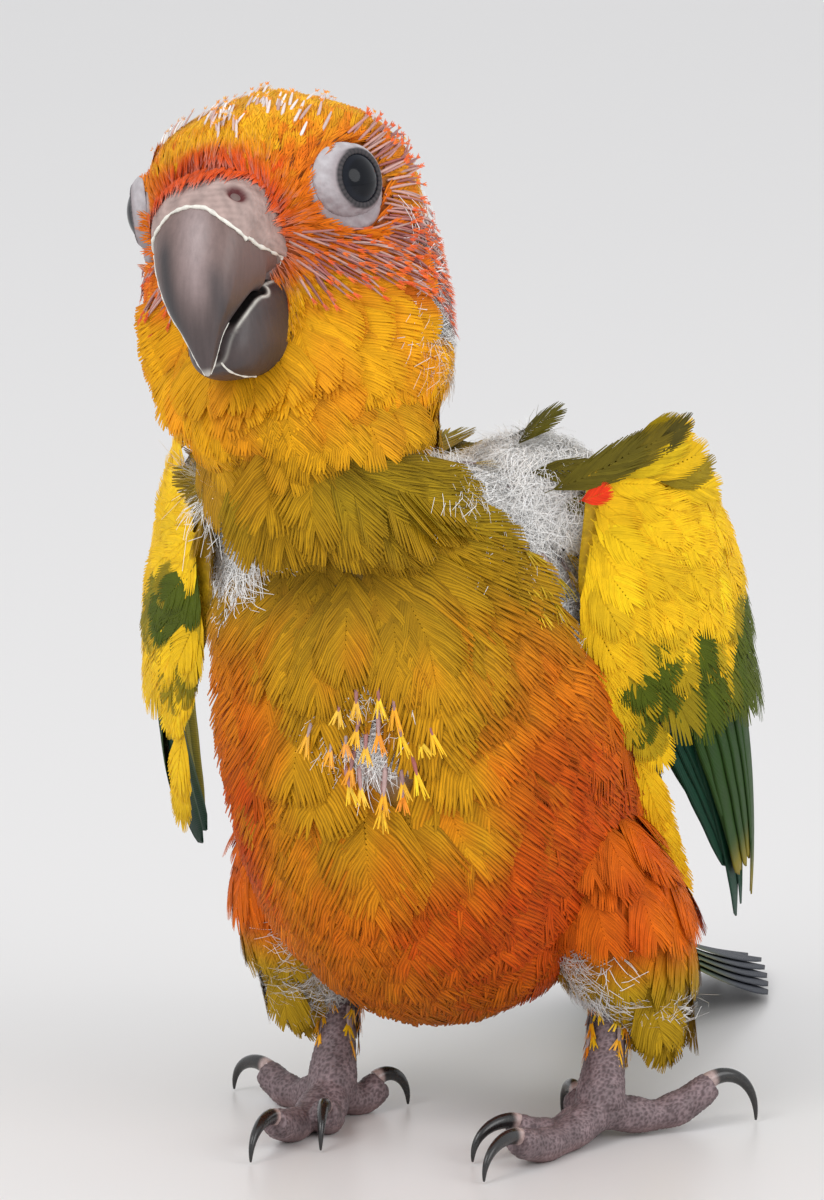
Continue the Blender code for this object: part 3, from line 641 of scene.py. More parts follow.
class Shader:
    """A Principled material that is built from Python."""

    def __init__(self, name, **settings):
        self.material = bpy.data.materials.new(name)
        self.material.use_nodes = True
        self.tree = self.material.node_tree
        self.surface = self.tree.nodes["Principled BSDF"]
        for title, value in settings.items():
            self.set(title.replace("_", " ").title(), value)

    def set(self, title, value):
        """Sets or links one socket of the Principled shader."""
        if isinstance(value, Socket):
            self.tree.links.new(value.output, self.surface.inputs[title])
        else:
            self.surface.inputs[title].default_value = value

    def node(self, kind, settings=None, inputs=None):
        """Adds a node with its settings first, then the values or links of its sockets; returns its outputs."""
        made = self.tree.nodes.new(kind)
        for title, value in (settings or {}).items():
            if title == "stops":
                self.set_stops(made.color_ramp, value)
            else:
                setattr(made, title, value)
        for title, value in (inputs or {}).items():
            if isinstance(value, Socket):
                self.tree.links.new(value.output, made.inputs[title])
            else:
                made.inputs[title].default_value = value
        outputs = {i: Socket(self, socket) for i, socket in enumerate(made.outputs)}
        outputs.update({socket.name: Socket(self, socket) for socket in made.outputs if socket.enabled})
        return outputs

    @staticmethod
    def set_stops(ramp_data, stops):
        while len(ramp_data.elements) < len(stops):
            ramp_data.elements.new(1.0)
        for element, (place, colour) in zip(ramp_data.elements, stops):
            element.position = place
            element.color = (*colour, 1.0)

    def place(self):
        return self.node("ShaderNodeTexCoord")["Object"]

    def uv(self, name):
        return self.node("ShaderNodeUVMap", {"uv_map": name})["UV"]

    def split(self, vector):
        parts = self.node("ShaderNodeSeparateXYZ", None, {0: vector})
        return parts["X"], parts["Y"], parts["Z"]

    def tint(self):
        return self.node("ShaderNodeAttribute", {"attribute_name": "Tint"})["Color"]

    def value(self, name):
        return self.node("ShaderNodeAttribute", {"attribute_name": name})["Fac"]

    def noise(self, vector, scale, detail=3.0, roughness=0.55):
        inputs = {"Vector": vector, "Scale": scale, "Detail": detail, "Roughness": roughness}
        return self.node("ShaderNodeTexNoise", None, inputs)["Fac"]

    def cells(self, vector, scale, feature="F1"):
        inputs = {"Vector": vector, "Scale": scale}
        return self.node("ShaderNodeTexVoronoi", {"feature": feature}, inputs)["Distance"]

    def mix(self, factor, one, other, blend="MIX"):
        settings = {"data_type": "RGBA", "blend_type": blend}
        inputs = {0: factor, 6: self.colour(one), 7: self.colour(other)}
        return self.node("ShaderNodeMix", settings, inputs)[2]

    @staticmethod
    def colour(value):
        return value if isinstance(value, Socket) else (*value, 1.0)

    def brighten(self, colour, factor):
        """The colour times a number that varies over the surface."""
        return self.node("ShaderNodeVectorMath", {"operation": "SCALE"}, {0: colour, "Scale": factor})[0]

    def bump(self, height, strength, distance):
        inputs = {"Strength": strength, "Distance": distance, "Height": height}
        self.set("Normal", self.node("ShaderNodeBump", None, inputs)["Normal"])


def feather_material(name, lines=2, gap_shade_strength=0.5, roughness=0.6):
    """Barbed feathers: tint with painted shade, dark lines in the gaps between the barbs that deepen towards the
    feather's edge.

    The Barb map runs across each strip in u and along it in v, and a strip shows that many barbs.
    """
    shader = Shader(name, roughness=roughness)
    shader.set("Specular IOR Level", 0.12)
    u, v, _ = shader.split(shader.uv("Barb"))
    ridges = ((u * (2 * math.pi * lines) - math.pi / 2).sine() * 0.5 + 0.5) ** 0.5
    place = shader.place()
    grain = shader.noise(place, 1100.0, 2.0)
    patches = shader.noise(place, 160.0, 3.0)
    # Painted shade in the gaps between the barbs, deeper towards the barbs' ends
    depth = (v * 0.6 + 0.4) * gap_shade_strength
    light = (1 - depth * (1 - ridges)) * (0.7 + grain * 0.28 + patches * 0.4)
    shader.set("Base Color", shader.brighten(shader.tint(), light))
    shader.bump(ridges, 0.25, 0.00008)
    return shader.material


def vane_material(name, gloss=0.45):
    """Flight feathers: fine slanting barbs either side of the shaft, from the Vane map in millimetres."""
    shader = Shader(name, roughness=gloss)
    shader.set("Specular IOR Level", 0.1)
    along, side, _ = shader.split(shader.uv("Vane"))
    slant = along - side.math("ABSOLUTE", side) * 0.9
    barbs = (slant * 13.0).sine() * 0.5 + 0.5
    grain = shader.noise(shader.place(), 420.0, 3.0)
    light = 0.74 + barbs * 0.22 + (grain - 0.5) * 0.45
    shader.set("Base Color", shader.brighten(shader.tint(), light))
    shader.set("Roughness", gloss - 0.08 + grain * 0.2)
    shader.bump(barbs, 0.3, 0.00012)
    return shader.material


def skin_material(name):
    """Bare skin: tint with fine creases and small pits, and a moist gloss."""
    shader = Shader(name, roughness=0.55)
    shader.set("Specular IOR Level", 0.35)
    place = shader.place()
    pits = shader.cells(place, 1700.0)
    creases = shader.noise(place, 500.0, 5.0)
    # Painted shade: darker in the creases and in the pits, the low places of the bump
    light = 0.82 + creases * 0.36 - (1 - pits).clamped() * 0.12
    shader.set("Base Color", shader.brighten(shader.tint(), light))
    shader.set("Roughness", 0.42 + creases * 0.25)
    shader.bump(creases + pits * 0.6, 0.5, 0.00025)
    return shader.material


def quill_material(name):
    """Horny sheaths of growing feathers: tint with faint rings and a waxy gloss."""
    shader = Shader(name, roughness=0.4)
    shader.set("Specular IOR Level", 0.4)
    grain = shader.noise(shader.place(), 1500.0, 3.0)
    shader.set("Base Color", shader.brighten(shader.tint(), 0.75 + grain * 0.5))
    shader.bump(grain, 0.3, 0.0001)
    return shader.material


# Feathers


class Ground:
    """A surface that feathers grow on, with the sign of its normal and the span of (u, v) that its unwrap covers."""

    def __init__(self, surface, out, span_u, span_v):
        self.surface = surface
        self.out = out
        self.span_u = span_u
        self.span_v = span_v

    def slopes(self, u, v):
        step_u = 0.004 * (self.span_u[1] - self.span_u[0])
        step_v = 0.002 * (self.span_v[1] - self.span_v[0])
        return slopes(self.surface, u, v, self.out, step_u, step_v)

    def unwrap(self, u, v):
        """Place in the unit square: v across and u up."""
        across_share = (v - self.span_v[0]) / (self.span_v[1] - self.span_v[0])
        up_share = (u - self.span_u[0]) / (self.span_u[1] - self.span_u[0])
        return np.stack((across_share % 1.0, up_share), axis=-1)

    def step(self, u, v, move):
        """The (u, v) that lies at the vector move along the surface, by its local slopes."""
        _, _, su, sv = self.slopes(u, v)
        aa, ab, bb = (dot(a, b)[..., 0] for a, b in ((su, su), (su, sv), (sv, sv)))
        ma, mb = dot(move, su)[..., 0], dot(move, sv)[..., 0]
        scale = np.maximum(aa * bb - ab * ab, 1e-9)
        return u + (ma * bb - mb * ab) / scale, v + (mb * aa - ma * ab) / scale

    def scatter(self, spacing, rng, u_range=None, v_range=None, samples=400):
        """Roots about spacing apart: rows across u, each shifted by half a step and every root jittered."""
        u_low, u_high = u_range or self.span_u
        v_low, v_high = v_range or self.span_v
        line_u = np.linspace(u_low, u_high, samples)
        middles = np.linspace(v_low, v_high, 9)[:-1]
        tracks = self.surface(*np.meshgrid(line_u, middles, indexing="ij"))
        steps = np.linalg.norm(np.diff(tracks, axis=0), axis=-1).max(axis=1)
        run = np.concatenate(([0], np.cumsum(steps)))
        row_places = np.interp(np.arange(spacing / 2, run[-1], spacing * 0.87), run, line_u)
        roots = []
        line_v = np.linspace(v_low, v_high, 73)
        for index, u in enumerate(row_places):
            ring = self.surface(np.full(line_v.shape, u), line_v)
            girth = np.concatenate(([0], np.cumsum(np.linalg.norm(np.diff(ring, axis=0), axis=-1))))
            count = max(int(girth[-1] / spacing), 1)
            places = (np.arange(count) + 0.5 * (index % 2) + rng.uniform(-0.3, 0.3, count)) / count
            v = np.interp((places % 1.0) * girth[-1], girth, line_v)
            drift = rng.uniform(-0.3, 0.3, count) * (row_places[1] - row_places[0])
            roots.append(np.stack((np.full(count, u) + drift, v), axis=1))
        return np.concatenate(roots).T


class Plume:
    """The shape that feathers of one kind share, in millimetres at its nominal size.

    It is a set of parts: strips or a tube. points holds forward, aside and up, edge and reach the place
    across and along each part, part its number, and blend how far from its root's to its tip's colour.
    """

    def __init__(self, length, width, points, faces, edge, reach, part, blend):
        self.length, self.width = length, width
        self.points, self.faces = points, faces
        self.edge, self.reach, self.part, self.blend = edge, reach, part, blend
        self.parts = int(part.max()) + 1
        self.along = np.clip(points[:, 0] / length, 0, 1)
        self.aside = points[:, 1] / width

    def joined(self, other):
        """This shape and another in one."""
        faces = np.concatenate((self.faces, other.faces + len(self.points)))
        points = np.concatenate((self.points, other.points))
        part = np.concatenate((self.part, other.part + self.parts))
        rest = (np.concatenate(pair) for pair in ((self.edge, other.edge), (self.reach, other.reach)))
        return Plume(self.length, self.width, points, faces, *rest, part, np.concatenate((self.blend, other.blend)))

    def grow(self, ground, u, v, flow, length, width, lift, rng, cling=0.9, ruffle=0.025, start=0.0):
        """Points of one feather for each root, bent to lie over the ground.

        Along the feather the surface falls away as the turn of its normal over the feather's length says,
        across it likewise; lift is the tip's height over the root, start the root's own height.
        """
        point, normal, _, _ = ground.slopes(u, v)
        flow = unit(flow - normal * dot(flow, normal))
        side = np.cross(normal, flow)
        length, width, lift = (np.broadcast_to(x, u.shape)[:, None] for x in (length, width, lift))
        _, end_normal, _, _ = ground.slopes(*ground.step(u, v, flow * length * 0.7))
        turn = np.arcsin(np.clip(dot(end_normal, flow), -0.25, 0.9)) * cling / 0.7
        _, side_normal, _, _ = ground.slopes(*ground.step(u, v, side * width * 0.5))
        roll = np.clip(dot(side_normal, side), -0.6, 0.9) * cling
        x, y, z = self.points.T
        share, reach = self.along[None], self.reach[None]
        wave = self.part * rng.uniform(0.4, 1.0, (len(u), 1)) + rng.uniform(0, 2 * math.pi, (len(u), 1))
        sway = ruffle * (1.5 * np.sin(wave) + rng.normal(0, 0.5, (len(u), self.parts))[:, self.part])
        rise = ruffle * rng.normal(0, 0.5, (len(u), self.parts))[:, self.part]
        out = x[None] / self.length * length
        aside = (y[None] / self.width + sway * reach * 0.6) * width
        bend = turn * share
        ahead = out * (1 - bend**2 / 6)
        fall = out * bend / 2 * (1 - bend**2 / 12) + roll * (2 * y[None] / self.width) ** 2 * width / 4
        height = start + lift * share**0.8 + z[None] * length / self.length + rise * reach * width * 0.7 - fall
        return (
            point[:, None]
            + flow[:, None] * ahead[..., None]
            + side[:, None] * aside[..., None]
            + normal[:, None] * height[..., None]
        )

    def all_faces(self, feathers):
        return (self.faces[None] + (np.arange(feathers) * len(self.points))[:, None, None]).reshape(-1, 4)

    def maps(self, ground, u, v):
        """The Barb map and the OFBake map, in which each feather is a patch at its root's place."""
        corners = self.faces.reshape(-1)
        barb = np.tile(np.stack((self.edge, self.reach), axis=-1)[corners], (len(u), 1))
        patch = np.stack((self.aside, self.along - 0.5), axis=-1)[corners] * PATCH
        bake = ground.unwrap(u, v)[:, None] + patch[None]
        return {"Barb": barb, "OFBake": np.clip(bake, 0, 1).reshape(-1, 2)}


def strips(length, width, curves, halves, tilt, blend):
    """A Plume of flat strips about curves, an array of parts, steps and places, with their half widths."""
    parts, steps = curves.shape[:2]
    slope = np.gradient(curves, axis=1)
    flank = unit(np.stack((-slope[..., 1], slope[..., 0], np.zeros((parts, steps))), axis=-1))
    flank[..., 2] = -tilt
    edges = np.stack((curves - flank * halves[..., None], curves + flank * halves[..., None]), axis=2)
    quads, _ = grid_faces(steps, 2, False)
    faces = (quads[:, ::-1][None] + (np.arange(parts) * 2 * steps)[:, None, None]).reshape(-1, 4)
    edge = np.tile((0.0, 1.0), parts * steps)
    reach = np.tile(np.repeat(np.linspace(0, 1, steps), 2), parts)
    part = np.repeat(np.arange(parts), 2 * steps)
    points = edges.reshape(-1, 3)
    return Plume(length, width, points, faces, edge, reach, part, blend(points[:, 0] / length, reach))


def barbed(barbs, steps, length, width, strip, first=5, reach=0.52, open_tip=0.0, shaft=0.14, fade=0.55):
    """A contour feather: barbs leave both sides of a shaft and bend towards its tip.

    They end on half an ellipse that starts at the share reach of its length.
    """
    share = (np.arange(barbs) + 0.5) / barbs
    angle = np.radians(first + (86 - first) * share)
    tip_x = (reach + (1 - reach) * np.sin(angle)) * (1 - open_tip * (np.arange(barbs) % 2))
    tip_y = 0.5 * np.cos(angle) ** 0.75
    t = np.linspace(0, 1, steps + 1)[:, None]
    curves = []
    for sign in (1, -1):
        start = np.stack(((0.02 + 0.76 * share) * length, 0 * share, 0 * share), -1)[:, None]
        end = np.stack((tip_x * length, sign * tip_y * width, 0 * share), -1)[:, None]
        bend = start + (end - start) * np.array((0.40, 0.66, 0.0))
        curves.append((1 - t) ** 2 * start + 2 * t * (1 - t) * bend + t**2 * end)
    halves = 0.5 * strip * (0.6 + 0.5 * t[:, 0]) * (1 - 0.78 * t[:, 0] ** 4)
    halves = np.broadcast_to(halves, (2 * barbs, steps + 1))
    vane_strips = strips(length, width, np.concatenate(curves), halves, 0.02, lambda x, _: ramp(x, 0.05, fade))
    line = np.zeros((1, steps + 1, 3))
    line[0, :, 0] = np.linspace(-0.04, 0.9, steps + 1) * length
    line[0, :, 2] = 0.08
    half = 0.5 * shaft * np.linspace(1, 0.4, steps + 1)[None]
    return vane_strips.joined(strips(length, width, line, half, 0.0, lambda x, _: 0.7 * ramp(x, 0.0, fade)))


def fluffy(fibres, length, spread, rise, strip, seed):
    """A tuft of down: thin strips that leave one root, spread and curl."""
    rng = np.random.default_rng(seed)
    t = np.linspace(0, 1, 4)[None, :]
    turn = rng.uniform(-1, 1, (fibres, 1)) * spread
    reach = rng.uniform(0.6, 1.0, (fibres, 1)) * length
    curl = rng.normal(0, 0.6, (fibres, 1))
    heading = turn + curl * t**1.5
    step = reach / 3
    x = np.cumsum(np.cos(heading) * step, axis=1) - step
    y = np.cumsum(np.sin(heading) * step, axis=1)
    z = rise * rng.uniform(0.3, 1.0, (fibres, 1)) * np.sin(t * rng.uniform(1.5, 2.9, (fibres, 1)))
    curves = np.stack((x, y, z), axis=-1)
    halves = np.broadcast_to(0.5 * strip * (1 - 0.6 * t), (fibres, 4))
    return strips(length, length, curves, halves, 0.35, lambda x, reach: reach)


def pin(length, radius, brush, seed):
    """A growing feather: a tapering sheath with six sides, and strips that open from its end."""
    rings = np.linspace(0, 1, 5)
    turn = np.linspace(0, 2 * math.pi, 6, endpoint=False)
    thick = radius * np.array((0.8, 1.0, 0.95, 0.8, 0.45))
    sheath = np.zeros((5, 6, 3))
    sheath[..., 0] = (rings * (1 - brush) * length)[:, None]
    sheath[..., 1] = thick[:, None] * np.cos(turn)
    sheath[..., 2] = thick[:, None] * np.sin(turn) + radius
    quads, _ = grid_faces(5, 6, True)
    blank = np.zeros(30)
    part = Plume(length, radius * 4, sheath.reshape(-1, 3), quads[:, ::-1], blank, blank, blank.astype(int), blank)
    rng = np.random.default_rng(seed)
    t = np.linspace(0, 1, 3)[None, :]
    turn = rng.uniform(-0.28, 0.28, (7, 1))
    reach = rng.uniform(0.75, 1.15, (7, 1)) * brush * length
    x = (1 - brush * 1.15) * length + reach * t * np.cos(turn)
    y = reach * t * np.sin(turn)
    z = radius + rng.uniform(-0.3, 0.3, (7, 1)) * t + 0 * t
    halves = np.broadcast_to(radius * 0.55 * (1 - 0.7 * t), (7, 3))
    tip = strips(length, radius * 4, np.stack((x, y, z), axis=-1), halves, 0.2, lambda x, _: 1 + 0 * x)
    return part.joined(tip)


BODY = Ground(skin_surface, 1, (0.0, CROWN_ROW), (-180.0, 180.0))

PLUMES = {
    "breast": barbed(18, 2, 20.0, 15.0, 1.1, reach=0.6, fade=0.45),
    "contour": barbed(15, 2, 16.0, 12.0, 1.05, reach=0.6, fade=0.45),
    "soft": barbed(16, 2, 12.0, 9.0, 0.86, first=-5, reach=0.64),
    "covert": barbed(12, 2, 13.0, 6.6, 0.62, fade=0.3),
    "short": barbed(5, 2, 6.5, 2.0, 0.34, first=25, open_tip=0.1),
    "bristle": barbed(3, 2, 4.0, 0.8, 0.2, first=40, open_tip=0.12, shaft=0.1),
    "down": fluffy(18, 6.0, 1.3, 1.5, 0.12, 5),
    "pin": pin(6.0, 0.17, 0.2, 6),
    "shoulder_pin": pin(9.0, 0.34, 0.45, 7),
}


def coat(name, kind, ground, u, v, flow, sizes, root, tip, material, rng, streak=0.1, **growth):
    """One coat piece: a feather of that kind at each root, from its root's colour to its tip's.

    sizes is length, width and lift; root and tip are a colour for each feather, or functions of its points.
    """
    plume = PLUMES[kind]
    points = plume.grow(ground, u, v, flow, *sizes, rng, **growth)
    streaks = 1 + rng.normal(0, streak, (len(u), plume.parts))[:, plume.part]
    feather = 1 + rng.normal(0, 0.05, (len(u), 1))
    root, tip = (given(points) if callable(given) else given[:, None] for given in (root, tip))
    colours = mix(root, tip, np.broadcast_to(plume.blend, streaks.shape))
    colours = colours * (streaks * feather)[..., None]
    return build_mesh(name, points, plume.all_faces(len(u)), material, colours, plume.maps(ground, u, v))


def seen(points):
    """Across and up of points as the photograph shows them, in millimetres on the plane through the target."""
    setup = bpy.context.scene.conure_studio
    e = math.radians(setup.elevation)
    back = np.array((0.0, -math.cos(e), math.sin(e)))
    up = np.array((0.0, math.sin(e), math.cos(e)))
    target = np.array((0.0, 0.0, setup.target_height))
    distance = setup.distance
    scale = distance / (distance - (points - target) @ back)
    return np.stack(((points[..., 0]) * scale, (points - target) @ up * scale), axis=-1)


def mark(plane, centre, radii, sharp=3.0):
    """1 inside an ellipse on the seen plane and 0 outside it, with an edge that is soft over 1 / sharp of it."""
    away = np.linalg.norm((plane - np.array(centre)) / np.array(radii), axis=-1)
    return ramp(away, 1 + 1 / sharp, 1 - 1 / sharp)


# Places on the seen plane: across, up, half width, half height
KEEL_PATCH = ((-5.4, -16.5), (6.6, 7.8))
THROAT_SPOT = ((-8.7, 15.7), (1.6, 1.6))
# Point on the edge between the breast's feathers and the left shoulder's down, and the way across it
BREAST_EDGE = ((3.2, 13.4), (0.712, 0.702))
RIGHT_SHOULDER_DOWN = ((-23.5, 10.5), (3.6, 7.0))
RIGHT_SIDE_DOWN = ((-25.0, -0.5), (2.8, 7.0))
RIGHT_BEND = ((-33.0, 18.5), (4.5, 5.0))
NAPE_DOWN = ((5.0, 43.0), (4.2, 12.5))
GREEN_PATCHES = {
    "left": (
        ((31.6, -10.0), (2.6, 4.2)), ((33.5, -16.0), (4.2, 3.0)), ((38.0, -11.0), (2.4, 6.0)), ((44.6, -13.0), (3.4, 8.0)),
        ((43.8, -3.0), (1.8, 4.6)), ((36.0, 24.0), (4.0, 1.6)), ((22.5, -1.3), (0.9, 1.2)),
    ),
    "right": (((-32.0, -1.5), (3.2, 3.8)), ((-30.8, -9.2), (1.2, 2.2)), ((-27.5, -13.5), (1.9, 2.2)), ((-29.0, 18.5), (1.6, 1.0))),
}
YELLOW_PATCHES = {
    "left": (((40.6, -16.0), (1.6, 3.4)),),
    "right": (),
}
RED_FLANKS = (((24.0, -33.0), (11.0, 15.0)), ((-24.5, -33.0), (5.5, 12.0)), ((13.0, -46.0), (13.0, 9.0)))


def face_on(points):
    """1 on the half of the bird that faces the camera's side, fading to 0 behind."""
    return ramp(from_body(points)[..., 0], -16, -4)


def down_share(points):
    """1 where white down shows instead of feathers."""
    plane = seen(points)
    shown = face_on(points)
    head, body = from_head(points), from_body(points)
    across_breast = (plane - np.array(BREAST_EDGE[0])) @ np.array(BREAST_EDGE[1])
    shoulder = ramp(across_breast, -0.6, 1.0) * ramp(body[..., 1], 1, 5) * ramp(plane[..., 1], -13, -9)
    shoulder = shoulder * ramp(head[..., 2], -26, -30)
    patches = [
        shoulder,
        mark(plane, *RIGHT_SHOULDER_DOWN),
        mark(plane, *RIGHT_SIDE_DOWN),
        mark(plane, *KEEL_PATCH),
    ]
    nape = mark(plane, *NAPE_DOWN) * ramp(head[..., 0], 3, -2)
    back = ramp(mottle(points, 16.0, 9), 0.66, 0.8) * (1 - shown) * ramp(body[..., 2], 100, 92) * 0.8
    return np.clip(np.maximum.reduce(patches) * shown + nape + back, 0, 1)


def plumage_tint(points, along, colours):
    """Colour of the feathers over the whole bird, from named colours and soft patches."""
    head = from_head(points)
    body = from_body(points)
    plane = seen(points)
    shown = face_on(points)
    patchy = mottle(points, 9.0, 3)
    fine = mottle(points, 4.0, 4)
    # Trunk from the back round to the breast, then down to the belly and the vent
    back = mix(colours.mantle, colours.ruff, 0.45 * ramp(patchy, 0.45, 0.8))
    breast = mix(colours.breast, colours.belly, 0.25 * fine + 0.65 * ramp(plane[..., 1], 2, -20))
    breast = mix(breast, colours.flank, 0.5 * ramp(patchy, 0.55, 0.85) * ramp(plane[..., 1], 2, -8))
    low = ramp(plane[..., 1], -29, -46) * (0.55 + 0.45 * fine)
    breast = mix(breast, colours.mantle, 0.4 * ramp(plane[..., 1], 4, 13))
    front = mix(breast, colours.flank, low)
    side = ramp(np.abs(body[..., 1] + 3.5), 12, 22) * ramp(plane[..., 1], 3, -12)
    front = mix(front, colours.flank, side * (0.6 + 0.35 * patchy))
    for place in RED_FLANKS:
        front = mix(front, colours.vent, mark(plane, *place, sharp=1.6) * (0.55 + 0.45 * fine))
    # Painted shade: the front darkens by up to a quarter towards the underside of the belly
    front = front * (1 - 0.25 * ramp(plane[..., 1], -44, -58))[..., None]
    trunk = mix(back, front, shown)
    # Head from the chin and cheeks to the crown
    lower = mix(colours.ruff, colours.cheek, ramp(patchy, 0.5, 0.85) * 0.55)
    lower = mix(lower, colours.breast, ramp(along, 10.8, 9.6) * 0.55)
    lower = mix(lower, colours.chin, blob(head, (6, 0, -26), (8, 7, 6)) * 0.5)
    edge = -12.5 - 0.35 * np.maximum(-head[..., 0], 0)
    mask = ramp(head[..., 2], edge - 2.0, edge + 1.5) * ramp(head[..., 0], -17, -8)
    upper = mix(colours.crown, colours.cheek, ramp(fine, 0.45, 0.9) * 0.6)
    upper = mix(upper, colours.face, 0.7 * ramp(np.abs(head[..., 1]), 7, 12) * ramp(head[..., 2], 10, 6))
    tone = mix(lower, colours.face, mask * (0.7 + 0.3 * patchy))
    tone = mix(tone, mix(colours.crown, colours.cheek, patchy), 0.8 * ramp(head[..., 0], -3, -8) * ramp(head[..., 2], -8, -3))
    tone = mix(tone, upper, ramp(head[..., 2], 2.5, 6))
    near = bill_distance(points)
    band = ramp(near, 12.4, 10.4) * ramp(head[..., 2], -6, -2)
    tone = mix(tone, colours.forehead, np.clip(band, 0, 1) * 0.95)
    tone = mix(tone, colours.forehead, 0.55 * ramp(near, 12.5, 10) * ramp(head[..., 2], -17, -13) * (head[..., 2] < 0))
    nape = ramp(head[..., 0], -12, -20)
    tone = mix(tone, mix(colours.crown, colours.mantle, 0.4 * patchy), nape * ramp(along, 14, 10))
    return mix(trunk, tone, ramp(along, 8.9, 9.8))


def ring_shade(points):
    """Share of the darker colour on the bare skin round an eye: mottled skin, and painted shade below the eye."""
    return np.clip(ramp(from_head(points)[..., 2], 0.0, -4.5) * 0.55 + 0.4 * mottle(points, 1.4, 8), 0, 1)


def skin_tint(points, along, colours):
    """Colour of the skin: that of the feathers over it but darker, as painted shade under the feathers, and pink or
    whitish where it is bare.
    """
    # Painted shade: skin under the feathers is their colour at half brightness
    under_feather_shade = plumage_tint(points, along, colours) * 0.5
    downy = down_share(points)
    keel = mark(seen(points), *KEEL_PATCH) * face_on(points)
    tone = mix(under_feather_shade, colours.down, downy * 0.75)
    tone = mix(tone, colours.bare_skin, np.maximum(keel * 0.8, bill_ring(points)))
    plane = seen(points)
    tone = mix(tone, colours.dark_skin_and_nostril_shade, mark(plane, *THROAT_SPOT) * face_on(points) * 0.7)
    ring = eye_ring(points)
    # The ring round each eye takes ring_shade: mottled skin and painted shade below the eye
    return mix(tone, mix(colours.eye_skin, colours.eye_shade, ring_shade(points)), ring)


def head_roots(u, v):
    """Point and lie of the body's feathers.

    They lie to the tail and fan out over the breast; on the head they lie away from the corner of the mouth.
    """
    point, _, slope_u, _ = BODY.slopes(u, v)
    body, head = from_body(point), from_head(point)
    side = np.clip(head[..., 1] / 5, -1, 1)
    away = unit(point - in_head(np.stack((0 * side + 10.0, side * 5.0, 0 * side - 7.0), axis=-1)))
    fan = np.clip((body[..., 1] + 6) / 24, -1, 1) * ramp(u, 3.5, 6.5) * face_on(point) * 0.75
    tail = unit(unit(-slope_u) + BODY_AXES[1] * fan[..., None])
    on_head = ramp(u, 8.9, 10.6)[:, None]
    return point, unit(tail * (1 - on_head) + away * on_head)


def chosen(keep, *arrays):
    return tuple(a[keep] for a in arrays)


def trunk_coat(name, u_range, spacing, sizes, seed, material, kind="contour", front=None, shade=0.6, press=0.8, **growth):
    """Feathers between two sections, left out where they would root in or reach over down or bare skin."""
    colours = bpy.context.scene.conure_colours
    rng = np.random.default_rng(seed)
    u, v = BODY.scatter(spacing, rng, u_range)
    if front is not None:
        u, v = chosen((np.cos(np.radians(v)) > -0.1) == front, u, v)
    point, flow = head_roots(u, v)
    size = (1 - 0.35 * ramp(from_head(point)[..., 0], 4, 12) * ramp(u, 11, 12.5)) * (1 - 0.5 * ramp(u, 17.4, 18.6))
    length, width = (given * size * rng.uniform(0.85, 1.15, len(u)) for given in sizes)
    tips = point + flow * length[:, None] * 0.6
    bare = np.maximum.reduce((down_share(point), down_share(tips), eye_ring(point), eye_ring(tips), bill_ring(point)))
    bend = np.maximum(mark(seen(point), *RIGHT_BEND), mark(seen(tips), *RIGHT_BEND))
    keep = (rng.uniform(0.2, 1, len(u)) > bare) & (bend < 0.3)
    u, v, point, flow, length, width = chosen(keep, u, v, point, flow, length, width)
    lift = coat_depth(u, body_surface(u, v)) * rng.uniform(0.85, 1.15, len(u)) * press * ramp(u, 19.5, 17.2) + 0.2
    flow = flow + np.cross(BODY.slopes(u, v)[1], flow) * rng.normal(0, 0.08, (len(u), 1))
    drift = rng.normal(0, 1.6, (len(u), 1, 3))

    def paint(points):
        return plumage_tint(points + drift, u[:, None], colours)

    def paint_root(points):
        return paint(points) * shade

    return coat(name, kind, BODY, u, v, flow, (length, width, lift), paint_root, paint, material, rng, **growth)


# Pieces


def make_skin():
    """Skin of trunk, neck and head in one closed surface: a loft of the body's sections."""
    colours = bpy.context.scene.conure_colours
    rows, columns = 300, 240
    along = np.concatenate((np.linspace(0, 9, 110), np.linspace(9, CROWN_ROW, rows - 109)[1:]))
    around = np.arange(columns) * 360 / columns - 180
    u, v = np.meshgrid(along, around, indexing="ij")
    points = skin_surface(u, v)
    tint = skin_tint(points, u, colours)
    made = build_loft("skin", points, skin_material("conure_skin"), tint)
    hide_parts("torso", "neck", "head")


def make_plumage():
    """Contour feathers of the trunk and head, in pieces from the tail up."""
    plain = feather_material("conure_plumage", 2, 0.5)
    lined = feather_material("conure_breast_plumage", 2, 0.72)
    soft = feather_material("conure_ruff_plumage", 2, 0.34)
    short = feather_material("conure_head_plumage", 1, 0.3)
    pieces = [
        trunk_coat("coat_rump", (0.6, 3.2), 3.4, (12.0, 9.0), 11, plain),
        trunk_coat("coat_belly", (2.8, 5.4), 4.4, (15.0, 13.0), 12, lined, front=True),
        trunk_coat("coat_back_low", (3.0, 6.0), 4.6, (15.0, 11.0), 13, plain, front=False),
        trunk_coat("coat_breast", (5.2, 8.0), 4.4, (19.0, 14.0), 14, lined, kind="breast", front=True),
        trunk_coat("coat_back_high", (5.8, 9.2), 4.0, (13.0, 9.4), 15, plain, front=False),
        trunk_coat("coat_throat", (7.2, 9.5), 3.0, (16.0, 10.0), 16, lined, kind="breast", front=True),
        trunk_coat("coat_neck", (9.3, 10.7), 2.8, (10.0, 7.5), 21, lined, shade=0.7, press=0.4),
        trunk_coat("coat_ruff", (10.5, 12.8), 2.6, (11.0, 8.5), 17, soft, kind="soft", streak=0.07, shade=0.8, press=0.5),
        trunk_coat("coat_cheeks", (12.4, 15.2), 1.35, (5.2, 2.0), 18, short, kind="short", shade=0.7, press=0.6),
        trunk_coat("coat_crown", (15.0, 18.45), 1.4, (6.6, 2.4), 19, short, kind="short", shade=0.75, press=0.5),
    ]
    make_forehead(short)


def cere_surface(u, v):
    """Outside of the cere: section u of the bill at v degrees round it."""
    return mandible(UPPER_BILL, u, np.radians(v), CERE_HEIGHT * 0.9, inner=UPPER_INNER)


